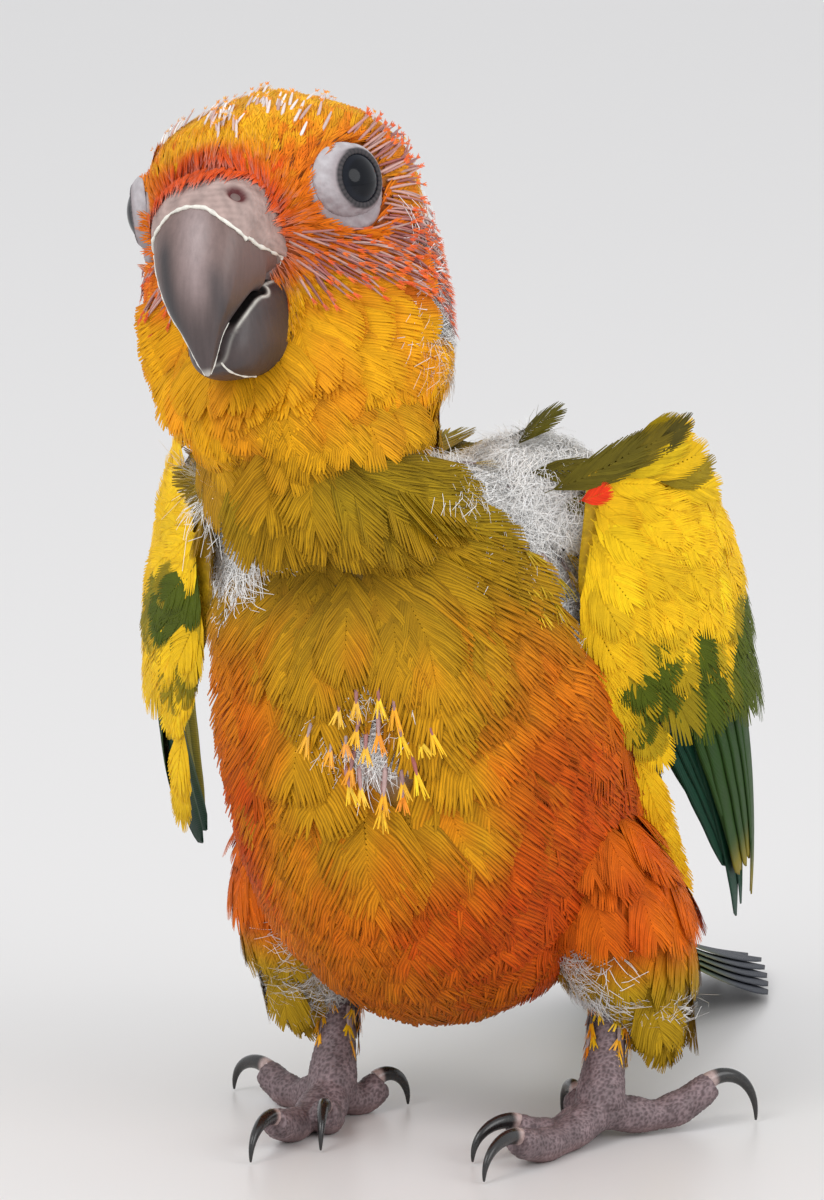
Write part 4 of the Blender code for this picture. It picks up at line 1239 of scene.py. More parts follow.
def make_forehead(material):
    """Bristly feathers that stand round the foot of the bill, on the skin and on the cere."""
    colours = bpy.context.scene.conure_colours
    rng = np.random.default_rng(20)

    def paint(points):
        return plumage_tint(points, 16 + 0 * points[..., 0], colours)

    def paint_root(points):
        return mix(paint(points), colours.cere, 0.45)

    def bristles(name, ground, u, v, flow, length):
        size = rng.uniform(0.75, 1.25, len(u))
        sizes = (length * size, 0.9 * size, rng.uniform(0.3, 0.9, len(u)))
        flow = flow + rng.normal(0, 0.14, flow.shape)
        piece = coat(name, "bristle", ground, u, v, flow, sizes, paint_root, paint, material, rng, start=0.1)

    u, v = BODY.scatter(0.75, rng, (11.5, 17.6))
    point, flow = head_roots(u, v)
    near = bill_distance(point)
    keep = (near > 8.0) & (near < 12.0) & (rng.uniform(0, 1, len(u)) < ramp(near, 12.0, 10.5) + 0.3)
    keep &= (eye_ring(point + flow * 2.0) < 0.7) & (from_head(point)[..., 2] > -20)
    bristles("coat_forehead", BODY, *chosen(keep, u, v, flow), 3.8)
    cere = Ground(cere_surface, -1, (0.0, 3.0), (-180.0, 180.0))
    u, v = cere.scatter(0.7, rng, (0.3, 2.2), (-125.0, 120.0))
    keep = u < cere_edge(np.radians(v)) - np.interp(v, *zip(*BRISTLE_GAPS)) + rng.uniform(-0.1, 0.1, len(u))
    u, v = chosen(keep, u, v)
    _, normal, slope_u, _ = cere.slopes(u, v)
    bristles("coat_cere", cere, u, v, normal * 0.2 - unit(slope_u), 3.2)


def mandible(rows, where, turn, grow=0.0, squareness=BILL_SQUARENESS, inner=BILL_SQUARENESS):
    """Point of a mandible: section where along its curve, and angle turn round it (0 on its outer side).

    A rounded square with one reach out, one in and one aside, square to the curve in the head's middle plane;
    squareness is that of its outer half and inner that of its other half.
    """
    where, turn = np.broadcast_arrays(where, turn)
    row = smooth_rows(rows, where)
    heading = np.radians(row[..., 2:3])
    outer_axis = HEAD_AXES[0] * np.sin(heading) + HEAD_AXES[2] * np.cos(heading)
    c, s = np.cos(turn), np.sin(turn)
    power = 2 / np.where(c > 0, squareness, inner)
    c = np.sign(c) * np.abs(c) ** power
    s = np.sign(s) * np.abs(s) ** power
    reach = np.where(c > 0, row[..., 4], row[..., 5]) + grow
    centre = in_head(np.stack((row[..., 0], 0 * where, row[..., 1]), axis=-1))
    return centre + outer_axis * (c * reach)[..., None] + HEAD_AXES[1] * (s * (row[..., 3] + grow))[..., None]


def cere_edge(turn):
    """Section of the bill at which the cere ends, by angle from the culmen."""
    return np.interp(np.abs(turn), *zip(*CERE_ENDS))


def horn_tint(points, colours):
    """Horn: mauve-brown, with a pale streak down the face of the bill and dark sides and tip."""
    ahead, aside, high = np.moveaxis(from_head(points), -1, 0)
    streak = mottle(np.stack((aside * 1.2, 0 * aside, high * 0.12), axis=-1), 3.0, 21)
    pale = np.exp(-(((aside - 1.2) / 2.4) ** 2)) * ramp(high, -20, -12) * (0.5 + 0.5 * streak)
    tone = mix(colours.horn, colours.horn_light, pale)
    tone = mix(tone, colours.horn_tip, ramp(high, -8, -18) * 0.7 * (1 - pale))
    tone = mix(tone, colours.horn_tip, 0.9 * np.exp(-(((aside + 3.2) / 1.4) ** 2)) * ramp(high, -4, -9))
    tone = mix(tone, colours.horn_tip, 0.6 * np.exp(-(((aside - 3.6) / 0.9) ** 2)) * ramp(high, -9, -13))
    return mix(tone, colours.rim, ramp(high, -23.2, -24.3) * 0.6)


def bead(path, radius, columns=8):
    """Rings of a thin closed tube along an open path."""
    around = np.linspace(0, 2 * math.pi, columns, endpoint=False)
    along = unit(np.gradient(path, axis=0))
    spoke = unit(np.cross(along, HEAD_AXES[0]) + 1e-6)
    other = np.cross(along, spoke)
    radius = np.broadcast_to(radius, len(path))[:, None, None]
    return path[:, None] + radius * (spoke[:, None] * np.cos(around)[:, None] + other[:, None] * np.sin(around)[:, None])


def make_bill():
    """Upper and lower mandible, the cere and the peeling rims of the horn."""
    colours = bpy.context.scene.conure_colours
    horn = horn_material()
    turn = np.linspace(-math.pi, math.pi, 120, endpoint=False)[None]
    where = np.linspace(BILL_START, len(UPPER_BILL) - 1, 150)[:, None]
    upper = mandible(UPPER_BILL, where, turn, inner=UPPER_INNER)
    piece = build_loft("upper_mandible", upper, horn, horn_tint(upper, colours))
    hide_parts("bill_upper")
    where = np.linspace(BILL_START, len(LOWER_BILL) - 1, 150)[:, None]
    lower = mandible(LOWER_BILL, where, turn, 0.0, 3.0, 3.0)
    sample = upper[::2, ::2].reshape(-1, 3)
    parts = np.array_split(lower.reshape(-1, 3), 60)
    near = np.concatenate([np.linalg.norm(part[:, None] - sample[None], axis=-1).min(axis=1) for part in parts])
    near = near.reshape(lower.shape[:2])
    middle = lower.mean(axis=1, keepdims=True)
    lower = lower - unit(lower - middle) * (ramp(near, 1.2, 0.4) * 0.35)[..., None]
    high = from_head(lower)[..., 2]
    tint = mix(colours.horn_tip, np.array(colours.horn) * 0.55, 0.2 + 0.5 * mottle(lower, 5.0, 22))
    slot = ramp(high, -19.0, -17.5)
    rim = np.exp(-(((near - 1.3) / 0.2) ** 2)) * (0.3 + 0.7 * slot) * (0.6 + 0.4 * mottle(lower, 1.5, 25))
    tint = mix(tint, colours.rim, rim)
    # Painted shade: near black where the lower mandible lies close under the upper one, in the mouth's gap
    tint = mix(tint, (0.004, 0.003, 0.003), ramp(near, 1.1, 0.8) * slot)
    piece = build_loft("lower_mandible", lower, horn, tint)
    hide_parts("bill_lower")
    share = np.linspace(0, 1, 60)[:, None]
    where = CERE_START + (cere_edge(turn) - CERE_START) * share
    cere = mandible(UPPER_BILL, where, turn, CERE_HEIGHT * (1 - share**6 * 0.8), inner=UPPER_INNER)
    centre = cere.mean(axis=1, keepdims=True)
    holes = np.zeros(cere.shape[:2])
    for sign in (1, -1):
        away = np.linalg.norm(from_head(cere) - np.array(NOSTRIL_PLACE) * (1, sign, 1), axis=-1)
        holes += np.exp(-((away / NOSTRIL_RADIUS) ** 4))
        cere = cere + unit(cere - centre) * (0.3 * np.exp(-((away / 2.6) ** 2)))[..., None]
    cere = cere - unit(cere - centre) * (holes * 1.3)[..., None]
    tint = mix(colours.cere, np.array(colours.cere) * 0.5, mottle(cere, 2.2, 23) * 0.6 + 0.4 * mottle(cere, 0.8, 26))
    # Painted shade: dark inside the nostrils' holes
    tint = mix(tint, colours.dark_skin_and_nostril_shade, np.clip(holes * 2.6, 0, 1))
    piece = build_loft("cere", cere, skin_material("conure_cere"), tint)
    make_rims(colours, horn)


def make_rims(colours, horn):
    """White rims: between cere and horn, along the cutting edges and under the lower mandible."""
    half = np.linspace(-2.55, 2.55, 200)
    paths = [(mandible(UPPER_BILL, cere_edge(half), half, 0.1, inner=UPPER_INNER), 0.14, 0.24)]
    for first, turn in ((4.7, 2.2), (2.6, -1.3)):
        where = np.linspace(first, 7.2, 200)
        paths.append((mandible(UPPER_BILL, where, 0 * where + turn, 0.02, inner=UPPER_INNER), 0.04, 0.12))
    where = np.linspace(1.8, 4.4, 200)
    paths.append((mandible(LOWER_BILL, where, 0 * where + 2.93, 0.0, 3.0, 3.0), 0.06, 0.16))
    lofts = [bead(path, least + more * mottle(path, 1.2, 24)) for path, least, more in paths]
    tint = np.broadcast_to(np.array(colours.rim), (len(lofts), *lofts[0].shape))
    piece = build_lofts("bill_rims", np.array(lofts), horn, tint)


def horn_material():
    """Horn of the bill: streaks that run to the tip, fine growth lines and a satin gloss."""
    shader = Shader("conure_horn", roughness=0.35)
    shader.set("Specular IOR Level", 0.5)
    place = shader.place()
    stretched = shader.node("ShaderNodeMapping", None, {"Vector": place, "Scale": (1400.0, 1400.0, 160.0)})[0]
    streaks = shader.noise(stretched, 1.0, 4.0)
    flecks = shader.noise(place, 1300.0, 4.0, 0.7)
    light = 0.7 + streaks * 0.55 + (flecks - 0.5) * 0.25
    shader.set("Base Color", shader.brighten(shader.tint(), light))
    shader.set("Roughness", 0.28 + flecks * 0.25)
    shader.bump(streaks * 0.6 + flecks * 0.4, 0.35, 0.0002)
    return shader.material


def ball_rings(centre, axis, radius, rows, columns):
    """Rings of a ball from one pole to the other along its axis."""
    one, two = across(axis)
    angle = np.linspace(0.004, math.pi - 0.004, rows)
    turn = np.linspace(0, 2 * math.pi, columns, endpoint=False)
    ring = np.cos(turn)[:, None] * two + np.sin(turn)[:, None] * one
    return centre + radius * (np.cos(angle)[:, None, None] * axis + np.sin(angle)[:, None, None] * ring[None])


def make_eyes():
    """Eyeballs with a dark iris, and the lid's beaded dark edge round each."""
    colours = bpy.context.scene.conure_colours
    lid_skin = skin_material("conure_lids")
    for side in SIDES:
        centre, outwards = eye_place(side)
        rings = ball_rings(centre, outwards, EYE_RADIUS, 72, 72)
        share = np.linspace(0, 180, 72)[:, None]
        pupil = np.broadcast_to(ramp(share, 26, 30), rings.shape[:2])
        made = build_loft("eyeball_" + side, rings, eye_material(side), mix(colours.pupil, colours.iris, pupil))
        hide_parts("eye_" + side)
        one, two = across(outwards)
        turn = np.linspace(0, 2 * math.pi, 240, endpoint=False)
        spoke = np.cos(turn)[:, None] * one + np.sin(turn)[:, None] * two
        depth = math.sqrt(EYE_RADIUS**2 - LID_OPENING**2)
        around = np.linspace(0, 2 * math.pi, 24, endpoint=False)
        beads = np.abs(np.sin(turn * 17))[:, None, None]
        slant = math.radians(LID_SLANT)
        outer = spoke * math.cos(slant) - outwards * math.sin(slant)
        upper = spoke * math.sin(slant) + outwards * math.cos(slant)
        forward = HEAD_AXES[0] - outwards * (HEAD_AXES[0] @ outwards)
        reach = (LID_REACH + LID_REACH_FORWARD * np.maximum(spoke @ unit(forward), 0))[:, None, None]
        inner = ramp((1 + np.cos(around))[None, :, None] * reach, 0.85, 0.6)
        middle = centre + outwards * (depth + 0.25) + spoke * (LID_OPENING - 0.15)
        rings = (
            middle[:, None]
            + outer[:, None] * (reach * (1 + np.cos(around))[:, None])
            + upper[:, None] * 0.38 * np.sin(around)[:, None] * (1 + 0.2 * beads * inner)
        )
        edge = ramp(np.cos(around), 0.4, -0.7)[None, :] * 0.7
        # ring_shade paints the shade below the eye on the lids too, with the skin's mottling
        tint = mix(colours.eye_skin, colours.eye_shade, np.maximum(edge, ring_shade(rings)))
        tint = mix(tint, mix(colours.lid_edge, colours.eye_shade, beads[..., 0] * 0.15), inner[..., 0])
        faces, places = grid_faces(241, 24, True)
        faces, kept = outward_faces(rings.reshape(-1, 3), [faces % (240 * 24)])
        maps = {"OFBake": places if kept else places[:, ::-1]}
        piece = build_mesh("lid_" + side, rings, faces, lid_skin, tint, maps)


def eye_material(side):
    """Eye: near black and wet."""
    shader = Shader("conure_eye_" + side, roughness=0.1)
    shader.set("Specular IOR Level", 0.2)
    streaks = shader.noise(shader.place(), 1800.0, 4.0)
    shader.set("Base Color", shader.brighten(shader.tint(), 0.7 + streaks * 0.6))
    return shader.material


VANE_ROWS = 24
VANE_COLUMNS = 11


def vane(place, root, heading, length, width, level, rise=0.0, tilt=SHINGLE, thick=0.3, blunt=4.0, notch=0.0):
    """A flight or covert feather as closed rings, with each point's place along and across it.

    Its half width grows from the root and falls off as the square root of 1 - share^blunt, notch cuts waves
    into its edges, and a bell across it raises the shaft. place turns (along, across, up) into a point.
    """
    turn = math.radians(heading)
    share = np.linspace(0, 1, VANE_ROWS)[:, None]
    side = np.linspace(-1, 1, VANE_COLUMNS)
    side = np.concatenate((side, side[-2:0:-1]))[None]
    top = np.concatenate((np.ones(VANE_COLUMNS), -np.ones(VANE_COLUMNS - 2)))[None]
    top[0, 0] = top[0, VANE_COLUMNS - 1] = 0
    half = 0.5 * width * np.minimum(1, 0.35 + 2.4 * share) * np.sqrt(np.maximum(1 - share**blunt, 0))
    ragged = 1 - notch * np.abs(side) ** 6 * (0.5 + 0.5 * np.sin(share * 31 + side * 3 + heading))
    reach = np.maximum(half, 0.12) * ragged * side
    thickness = thick * (1 - 0.6 * share)
    ridge = np.exp(-((side / 0.09) ** 2)) * (1 - share) * 0.9
    height = level + rise * share + thickness * (0.5 * top + ridge * (top > 0)) - 0.10 * side**2 * width / 4
    along = length * share + 0 * side
    u = root[0] + along * math.cos(turn) - reach * math.sin(turn)
    v = root[1] + along * math.sin(turn) + reach * math.cos(turn)
    return place(u, v, height - reach * math.tan(math.radians(tilt))), np.stack((along, reach), axis=-1)


def vane_tint(base, edge, tip, along, across, length, width):
    """Colour over a vane: base by the shaft, edge towards its front edge, and tip at its end."""
    share, side = along / length, across / width * 2
    tone = mix(base, edge, ramp(side, 0.1, 0.75) * ramp(share, 0.02, 0.3))
    tone = mix(tone, tip, ramp(share, 0.78, 1.0))
    shaft = np.exp(-((across / 0.28) ** 2))
    return tone * (1 - 0.45 * shaft * (1 - share))[..., None]


def build_vanes(name, vanes, tints, material):
    """Vanes of one tier in one piece."""
    points, maps = (np.array(part) for part in zip(*vanes))
    piece = build_lofts(name, points, material, np.array(tints), {"Vane": maps})
    return piece


def flight_colours(kind, share, colours):
    """Base, edge and tip colour of a flight feather, from the front of its tier to the rear."""
    olive = mix(colours.wing_green, colours.wing_yellow, 0.25)
    if kind == "primaries":
        return colours.flight, mix(colours.flight_edge, colours.wing_green, share), colours.flight
    bright = mix(colours.wing_green, olive, 0.5 + 0.5 * share) * 1.5
    return mix(colours.wing_green, colours.flight, 0.25), bright, mix(olive, colours.wing_yellow, 0.1)


def covert_tint(points, side, colours):
    """Coverts: yellow with green patches at their places on the seen plane."""
    plane = seen(points)
    tone = mix(colours.wing_yellow, colours.cheek, 0.18 * mottle(points, 7.0, 33))
    tone = mix(tone, colours.wing_olive, 0.3 * ramp(mottle(points, 5.0, 34), 0.6, 0.9))
    for place in GREEN_PATCHES[side]:
        tone = mix(tone, colours.wing_green, mark(plane, *place, sharp=4) * 0.95)
    for place in YELLOW_PATCHES[side]:
        tone = mix(tone, colours.wing_yellow, mark(plane, *place, sharp=4) * 0.9)
    return tone


def tier_coat(name, side, ground, down, back, heading, sizes, material, rng, colours):
    """Soft coverts with their roots down and back on the wing, each turned by its heading."""
    share = (down - ARM_START) / (ARM_LENGTH - ARM_START)
    inside = (down > ARM_LENGTH - 8) | (np.abs(back - ARM_BACK) < arm_section(share)[0] * 1.03)
    inside &= down < EDGE_END[side]
    down, back, heading = chosen(inside, down, back, heading)
    sizes = chosen(inside, *sizes)
    point, _, slope_down, slope_back = ground.slopes(down, back)
    turn = np.radians(heading)[:, None]
    flow = unit(slope_down) * np.cos(turn) + unit(slope_back) * np.sin(turn)
    tone = covert_tint(point + flow * sizes[0][:, None] * 0.6, side, colours)
    piece = coat(name, "covert", ground, down, back, flow, sizes, tone * 0.7, tone, material, rng, streak=0.05)


def make_wings():
    """Both folded wings: the arm, flight feathers in two tiers, and soft coverts in rows over them."""
    colours = bpy.context.scene.conure_colours
    flight = vane_material("conure_flight_feathers")
    covert = feather_material("conure_coverts", 2, 0.22)
    arm_skin = skin_material("conure_arm_skin")
    for side in SIDES:
        rng = np.random.default_rng(31)
        turn = np.linspace(0, 2 * math.pi, 64, endpoint=False)
        rings = []
        for share in np.linspace(0.07, 0.9, 60):
            chord, depth = arm_section(share)
            down = ARM_START + share * (ARM_LENGTH - ARM_START)
            rings.append(wing_sheet(side, down, ARM_BACK + chord * np.cos(turn), ARM_MIDDLE + depth * np.sin(turn)))
        # Painted shade: the arm under the coverts takes their colour at about half brightness, mottled at random
        tint = covert_tint(np.array(rings), side, colours) * (0.45 + 0.4 * mottle(np.array(rings), 1.6, 35))[..., None]
        arm = build_loft("wing_arm_" + side, rings, arm_skin, tint)
        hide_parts("wing_" + side)

        def place(u, v, h):
            return wing_sheet(side, u, v, h)

        for kind, (count, downs, backs, lengths, width, height, headings) in FLIGHT_ROWS.items():
            vanes, tints = [], []
            for i in range(count):
                share = i / (count - 1)
                spans = (downs, backs, lengths, headings)
                down, back, length, heading = (front + (rear - front) * share for front, rear in spans)
                length *= rng.uniform(0.9, 1.05)
                heading += rng.normal(0, 1.3)
                root = min(height, float(arm_top(down, back)) - 0.3)
                made = vane(place, (down, back), heading, length, width, root + 0.05 * i, height - root, notch=0.03)
                vanes.append(made)
                tone = flight_colours(kind, share, colours)
                tints.append(vane_tint(*tone, *np.moveaxis(made[1], -1, 0), length, width))
            build_vanes(f"{kind}_{side}", vanes, tints, flight)
        out = -1 if side == "left" else 1

        def over(u, v):
            fade = ramp(u, 52, 30)
            return wing_sheet(side, u, v, np.maximum(arm_top(u, v), 1.0) * fade + 0.9 * (1 - fade))

        ground = Ground(over, out, (ARM_START, 80.0), (-14.0, 15.0))
        for kind, (count, downs, backs, length, width, headings) in COVERT_ROWS.items():
            share = np.linspace(0, 1, count)
            down, back, heading = (front + (rear - front) * share for front, rear in (downs, backs, headings))
            down = down + rng.uniform(-1.2, 1.2, count)
            sizes = (length * rng.uniform(0.85, 1.15, count), width * rng.uniform(0.9, 1.1, count), np.full(count, 0.8))
            tier_coat(f"{kind}_{side}", side, ground, down, back, heading, sizes, covert, rng, colours)
        down, back = ground.scatter(2.7, rng, (ARM_START, 26.0), (-12.5, 14.5))
        size = rng.uniform(0.85, 1.15, len(down))
        heading = 62 * ramp(down + back * 0.4, 22, -2) * ramp(back, -13, 2) + rng.normal(0, 5, len(down))
        sizes = (10.0 * size, 5.6 * size, rng.uniform(0.5, 1.4, len(down)))
        tier_coat("lesser_coverts_" + side, side, ground, down, back, heading, sizes, covert, rng, colours)
        share = np.linspace(0, 0.78, 28)
        down = ARM_START + share * (ARM_LENGTH - ARM_START)
        back = ARM_BACK - 1.0 * arm_section(share)[0]
        heading = 34 * ramp(down, 14, -2) - 3 + rng.normal(0, 3, len(down))
        sizes = (rng.uniform(8.0, 11.0, len(down)), rng.uniform(4.4, 5.6, len(down)), np.full(len(down), 0.5))
        tier_coat("edge_coverts_" + side, side, ground, down, back, heading, sizes, covert, rng, colours)
        if side == "left":
            place, sizes, tones = (np.array(part, float) for part in zip(*SCAPULARS))
            down, back, heading = place.T
            turn = np.radians(heading)[:, None]
            _, _, slope_down, slope_back = ground.slopes(down, back)
            flow = unit(slope_down) * np.cos(turn) + unit(slope_back) * np.sin(turn)
            tips = tones * np.array(colours.scapular)
            piece = coat("scapulars", "covert", ground, down, back, flow, sizes.T, tips * 0.6, tips, covert, rng, start=0.8)


def make_tail():
    """Tail: graduated pairs of vanes, the middle pair on top and longest, with coverts above and below."""
    colours = bpy.context.scene.conure_colours
    flight = vane_material("conure_tail_feathers")
    length = float(np.linalg.norm(np.array(TAIL_TIP) - in_body(TAIL_ROOT))) - TAIL_VANE_ROOT
    vanes, tints = [], []
    for pair in range(5):
        out = 4 - pair
        for sign in (-1, 1):
            level = -PAIR_STEP * (out + (0.5 if sign > 0 else 0.0))
            size = length - PAIR_SHORTER * out
            root = (TAIL_VANE_ROOT, sign * (1.2 + out))
            made = vane(tail_place, root, sign * 1.5 * out, size, 8.5, level, notch=0.03)
            vanes.append(made)
            along, aside = np.moveaxis(made[1], -1, 0)
            base = mix(colours.wing_green, colours.tail_tip, ramp(along / size, 0.45, 0.8))
            edge = mix(mix(colours.wing_green, colours.wing_yellow, 0.2), colours.tail_edge, ramp(along / size, 0.45, 0.8))
            tone = mix(base, edge, ramp(np.abs(aside), 3.3, 4.1))
            tints.append(tone * (1 - 0.4 * np.exp(-((aside / 0.3) ** 2)))[..., None])
    piece = build_vanes("tail_feathers", vanes, tints, flight)
    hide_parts("tail")
    vanes, tints = [], []
    for level, reach in ((1.0, 24.0), (-5.0, 19.0)):
        for i in range(7):
            aside = (i - 3) * 2.3
            size = reach - abs(aside) * 0.8
            made = vane(tail_place, (4.0, aside), aside * 0.9, size, 6.5, level + 0.1 * i, notch=0.2)
            vanes.append(made)
            tone = (colours.mantle, colours.ruff, colours.mantle)
            tints.append(vane_tint(*tone, *np.moveaxis(made[1], -1, 0), size, 6.5))
    build_vanes("tail_coverts", vanes, tints, flight)


def tube_rings(path, radii, columns, flat=1.0):
    """Rings of a round tube along a path, each square to it; flat is its width over its height."""
    path = np.asarray(path, float)
    slope = unit(np.gradient(path, axis=0))
    side = unit(np.cross(slope, (0.0, 0.0, 1.0)) + 1e-6)
    top = np.cross(side, slope)
    turn = np.linspace(0, 2 * math.pi, columns, endpoint=False)
    spoke = side[:, None] * (np.cos(turn) * flat)[:, None] + top[:, None] * np.sin(turn)[:, None]
    return path[:, None] + spoke * np.asarray(radii, float)[:, None, None]


def floor_heading(turn):
    turn = math.radians(turn)
    return np.array((-math.sin(turn), -math.cos(turn), 0.0))


def toe_lift(side, toe, share):
    """How far a toe that stands on tiptoe is raised at that share of its length."""
    return RAISED_BY * share**2 if (side, toe) == RAISED_TOE else 0.0 * share


def toe_path(side, toe, steps):
    """Middle and radius along a toe, swollen a little at each joint."""
    heading, length, _ = TOES[side][toe]
    share = np.linspace(0, 1, steps)
    shape = smooth_rows(TOE_SHAPE, np.interp(share, [row[0] for row in TOE_SHAPE], np.arange(len(TOE_SHAPE))))
    path = np.array(FOOT[side]) + floor_heading(heading) * (length * share)[:, None]
    path[:, 2] = shape[:, 1] + toe_lift(side, toe, share)
    joints = 1 + 0.05 * np.cos(share * 2 * math.pi * (2 if length < 12 else 3))
    return path, shape[:, 2] * joints


def remeshed(lofts, voxel):
    """Points and faces of overlapping closed lofts joined to one skin of even small faces."""
    mesh = bpy.data.meshes.new("joined")
    points, faces, first = [], [], 0
    for rings in lofts:
        rows, columns = rings.shape[:2]
        quads, _ = grid_faces(rows, columns, True)
        caps = [list(range(columns))[::-1], list(range((rows - 1) * columns, rows * columns))]
        groups, _ = outward_faces(rings.reshape(-1, 3), [quads, np.array(caps)])
        faces += [tuple(int(k) + first for k in face) for group in groups for face in group]
        points.append(rings.reshape(-1, 3))
        first += rows * columns
    mesh.from_pydata(np.concatenate(points).tolist(), [], faces)
    made = bpy.data.objects.new("joined", mesh)
    bpy.context.scene.collection.objects.link(made)
    change = made.modifiers.new("remesh", "REMESH")
    change.mode = "VOXEL"
    change.voxel_size = voxel
    smooth = made.modifiers.new("smooth", "SMOOTH")
    smooth.factor = 0.5
    smooth.iterations = 4
    graph = bpy.context.evaluated_depsgraph_get()
    baked = made.evaluated_get(graph).to_mesh()
    points = np.empty(len(baked.vertices) * 3)
    baked.vertices.foreach_get("co", points)
    corners = np.empty(len(baked.loops), int)
    baked.loops.foreach_get("vertex_index", corners)
    normals = np.empty(len(baked.vertices) * 3)
    baked.vertices.foreach_get("normal", normals)
    bpy.data.objects.remove(made)
    return points.reshape(-1, 3), corners.reshape(-1, 4), normals.reshape(-1, 3)


def worley(points, size, seed):
    """Distances to the nearest and the next nearest of points scattered one to a cube of that size."""
    rng = np.random.default_rng(seed)
    table = rng.uniform(0.1, 0.9, (4096, 3))
    base = np.floor(points / size).astype(int)
    nearest = np.full((2, len(points)), 9.0)
    for offset in np.ndindex(3, 3, 3):
        cube = base + np.array(offset) - 1
        key = (cube @ np.array((73856093, 19349663, 83492791))) % 4096
        away = np.linalg.norm(points / size - cube - table[key], axis=-1)
        nearest[1] = np.where(away < nearest[0], nearest[0], np.minimum(nearest[1], away))
        nearest[0] = np.minimum(nearest[0], away)
    return nearest


def claw_rings(side, toe, rows, columns):
    """A claw: an arc from the toe's end up, over and down to the floor, narrowing to its point."""
    heading, length, reach = TOES[side][toe]
    direction = floor_heading(heading)
    share = np.linspace(0, 1, rows)
    angle = np.radians(CLAW_ARC * (1 - share))
    path = np.array(FOOT[side]) + direction * (length - 0.6 + reach * (0.30 + 0.62 * np.cos(angle)))[:, None]
    path[:, 2] = 0.30 + (CLAW_TOP + toe_lift(side, toe, 1.0)) * np.sin(angle) ** 0.85
    return tube_rings(path, 1.05 * (1 - share) ** 0.7 + 0.16, columns, 0.85), share


def make_legs():
    """Thighs with their feathers, scaly feet and claws."""
    colours = bpy.context.scene.conure_colours
    scaly = skin_material("conure_leg_scales")
    thigh_skin = skin_material("conure_thigh_skin")
    claw = claw_material()
    plumage = feather_material("conure_thigh_plumage", 2, 0.5)
    for side in SIDES:
        foot, ankle = np.array(FOOT[side]), np.array(ANKLE[side])
        above = ankle + (ankle - foot) * 0.15
        path = [above, ankle, (foot + ankle) / 2, foot + (0, 0, 1.2), foot + (0, 0, -1.6)]
        where = np.linspace(0, 4, 24)
        shank = tube_rings(smooth_rows(path, where), smooth_rows(np.array(SHANK_RADII)[:, None], where)[:, 0], 24)
        lofts = [shank] + [tube_rings(*toe_path(side, toe, 24), 20) for toe in TOES[side]]
        points, faces, normals = remeshed(lofts, 0.26)
        near, next_near = worley(points, 0.62, 41)
        scale = ramp(next_near - near, 0.02, 0.35)
        points = points + normals * ((scale - 0.75) * 0.1)[:, None]
        points[:, 2] = np.maximum(points[:, 2], 0.0)
        low = ramp(points[:, 2], 2.2, 0.4)
        tint = mix(colours.leg_seam, colours.leg, scale)
        dark = mottle(points, 3.0, 42)[..., None]
        tint = mix(tint * (0.75 + 0.5 * dark), colours.sole, low * 0.5)
        places = np.stack((points[:, 0], points[:, 1] + points[:, 2]), axis=-1)
        places = (places - places.min(0)) / (places.max(0) - places.min(0))
        piece = build_mesh("scaly_foot_" + side, points, faces, scaly, tint, {"OFBake": places[faces.reshape(-1)]})
        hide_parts("foot_" + side)
        for toe in TOES[side]:
            rings, share = claw_rings(side, toe, 48, 28)
            rings[..., 2] = np.maximum(rings[..., 2], 0.0)
            base = np.broadcast_to(ramp(share, 0.16, 0.06)[:, None], rings.shape[:2])
            tint = mix(colours.claw, colours.bare_skin, base)
            piece = build_loft(f"talon_{side}_{toe}", rings, claw, tint)
            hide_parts(f"claw_{side}_{toe}")
        make_thigh(side, thigh_skin, plumage, colours)


def make_thigh(side, thigh_skin, plumage, colours):
    """Skin of a thigh and the feathers that hang from it."""
    surface = thigh_surface(side, 1.6)
    up, around = np.meshgrid(np.linspace(0, 1, 60), np.arange(80) * 4.5, indexing="ij")
    rings = surface(up, around)
    # Painted shade: skin under the thigh's feathers is the flank colour at half brightness, with white down at its
    # lowest part
    tint = mix(np.array(colours.flank) * 0.5, colours.down, ramp(up, 0.3, 0.0))
    skin = build_loft("thigh_skin_" + side, rings, thigh_skin, tint)
    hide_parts("thigh_" + side)
    rng = np.random.default_rng(51)
    ground = Ground(surface, 1, (0.0, 1.0), (0.0, 360.0))
    u, v = ground.scatter(3.2, rng, (0.1, 0.97))
    point, _, slope_up, _ = ground.slopes(u, v)
    keep = rng.uniform(0.1, 1, len(u)) > thigh_down(side, point, u)
    u, v, slope_up = chosen(keep, u, v, slope_up)
    length, width = rng.uniform(10, 13, len(u)), rng.uniform(6.0, 8.5, len(u))
    sizes = (length, width, rng.uniform(0.6, 1.2, len(u)))
    low = THIGH_LOW[side][2]

    def paint(points):
        tone = mix(colours.flank, colours.vent, mottle(points, 8.0, 52) * 0.7)
        return mix(tone, colours.thigh_tip, ramp(points[..., 2], low + 13, low + 5))

    def paint_root(points):
        return paint(points) * 0.6

    name = "thigh_plumage_" + side
    piece = coat(name, "contour", ground, u, v, -slope_up, sizes, paint_root, paint, plumage, rng)


def claw_material():
    """Claws: near-black horn with long fine streaks and a high gloss."""
    shader = Shader("conure_claw", roughness=0.25, coat_weight=0.3, coat_roughness=0.1)
    streaks = shader.noise(shader.place(), 1400.0, 4.0)
    shader.set("Base Color", shader.brighten(shader.tint(), 0.5 + streaks))
    shader.set("Roughness", 0.18 + streaks * 0.2)
    shader.bump(streaks, 0.2, 0.0001)
    return shader.material


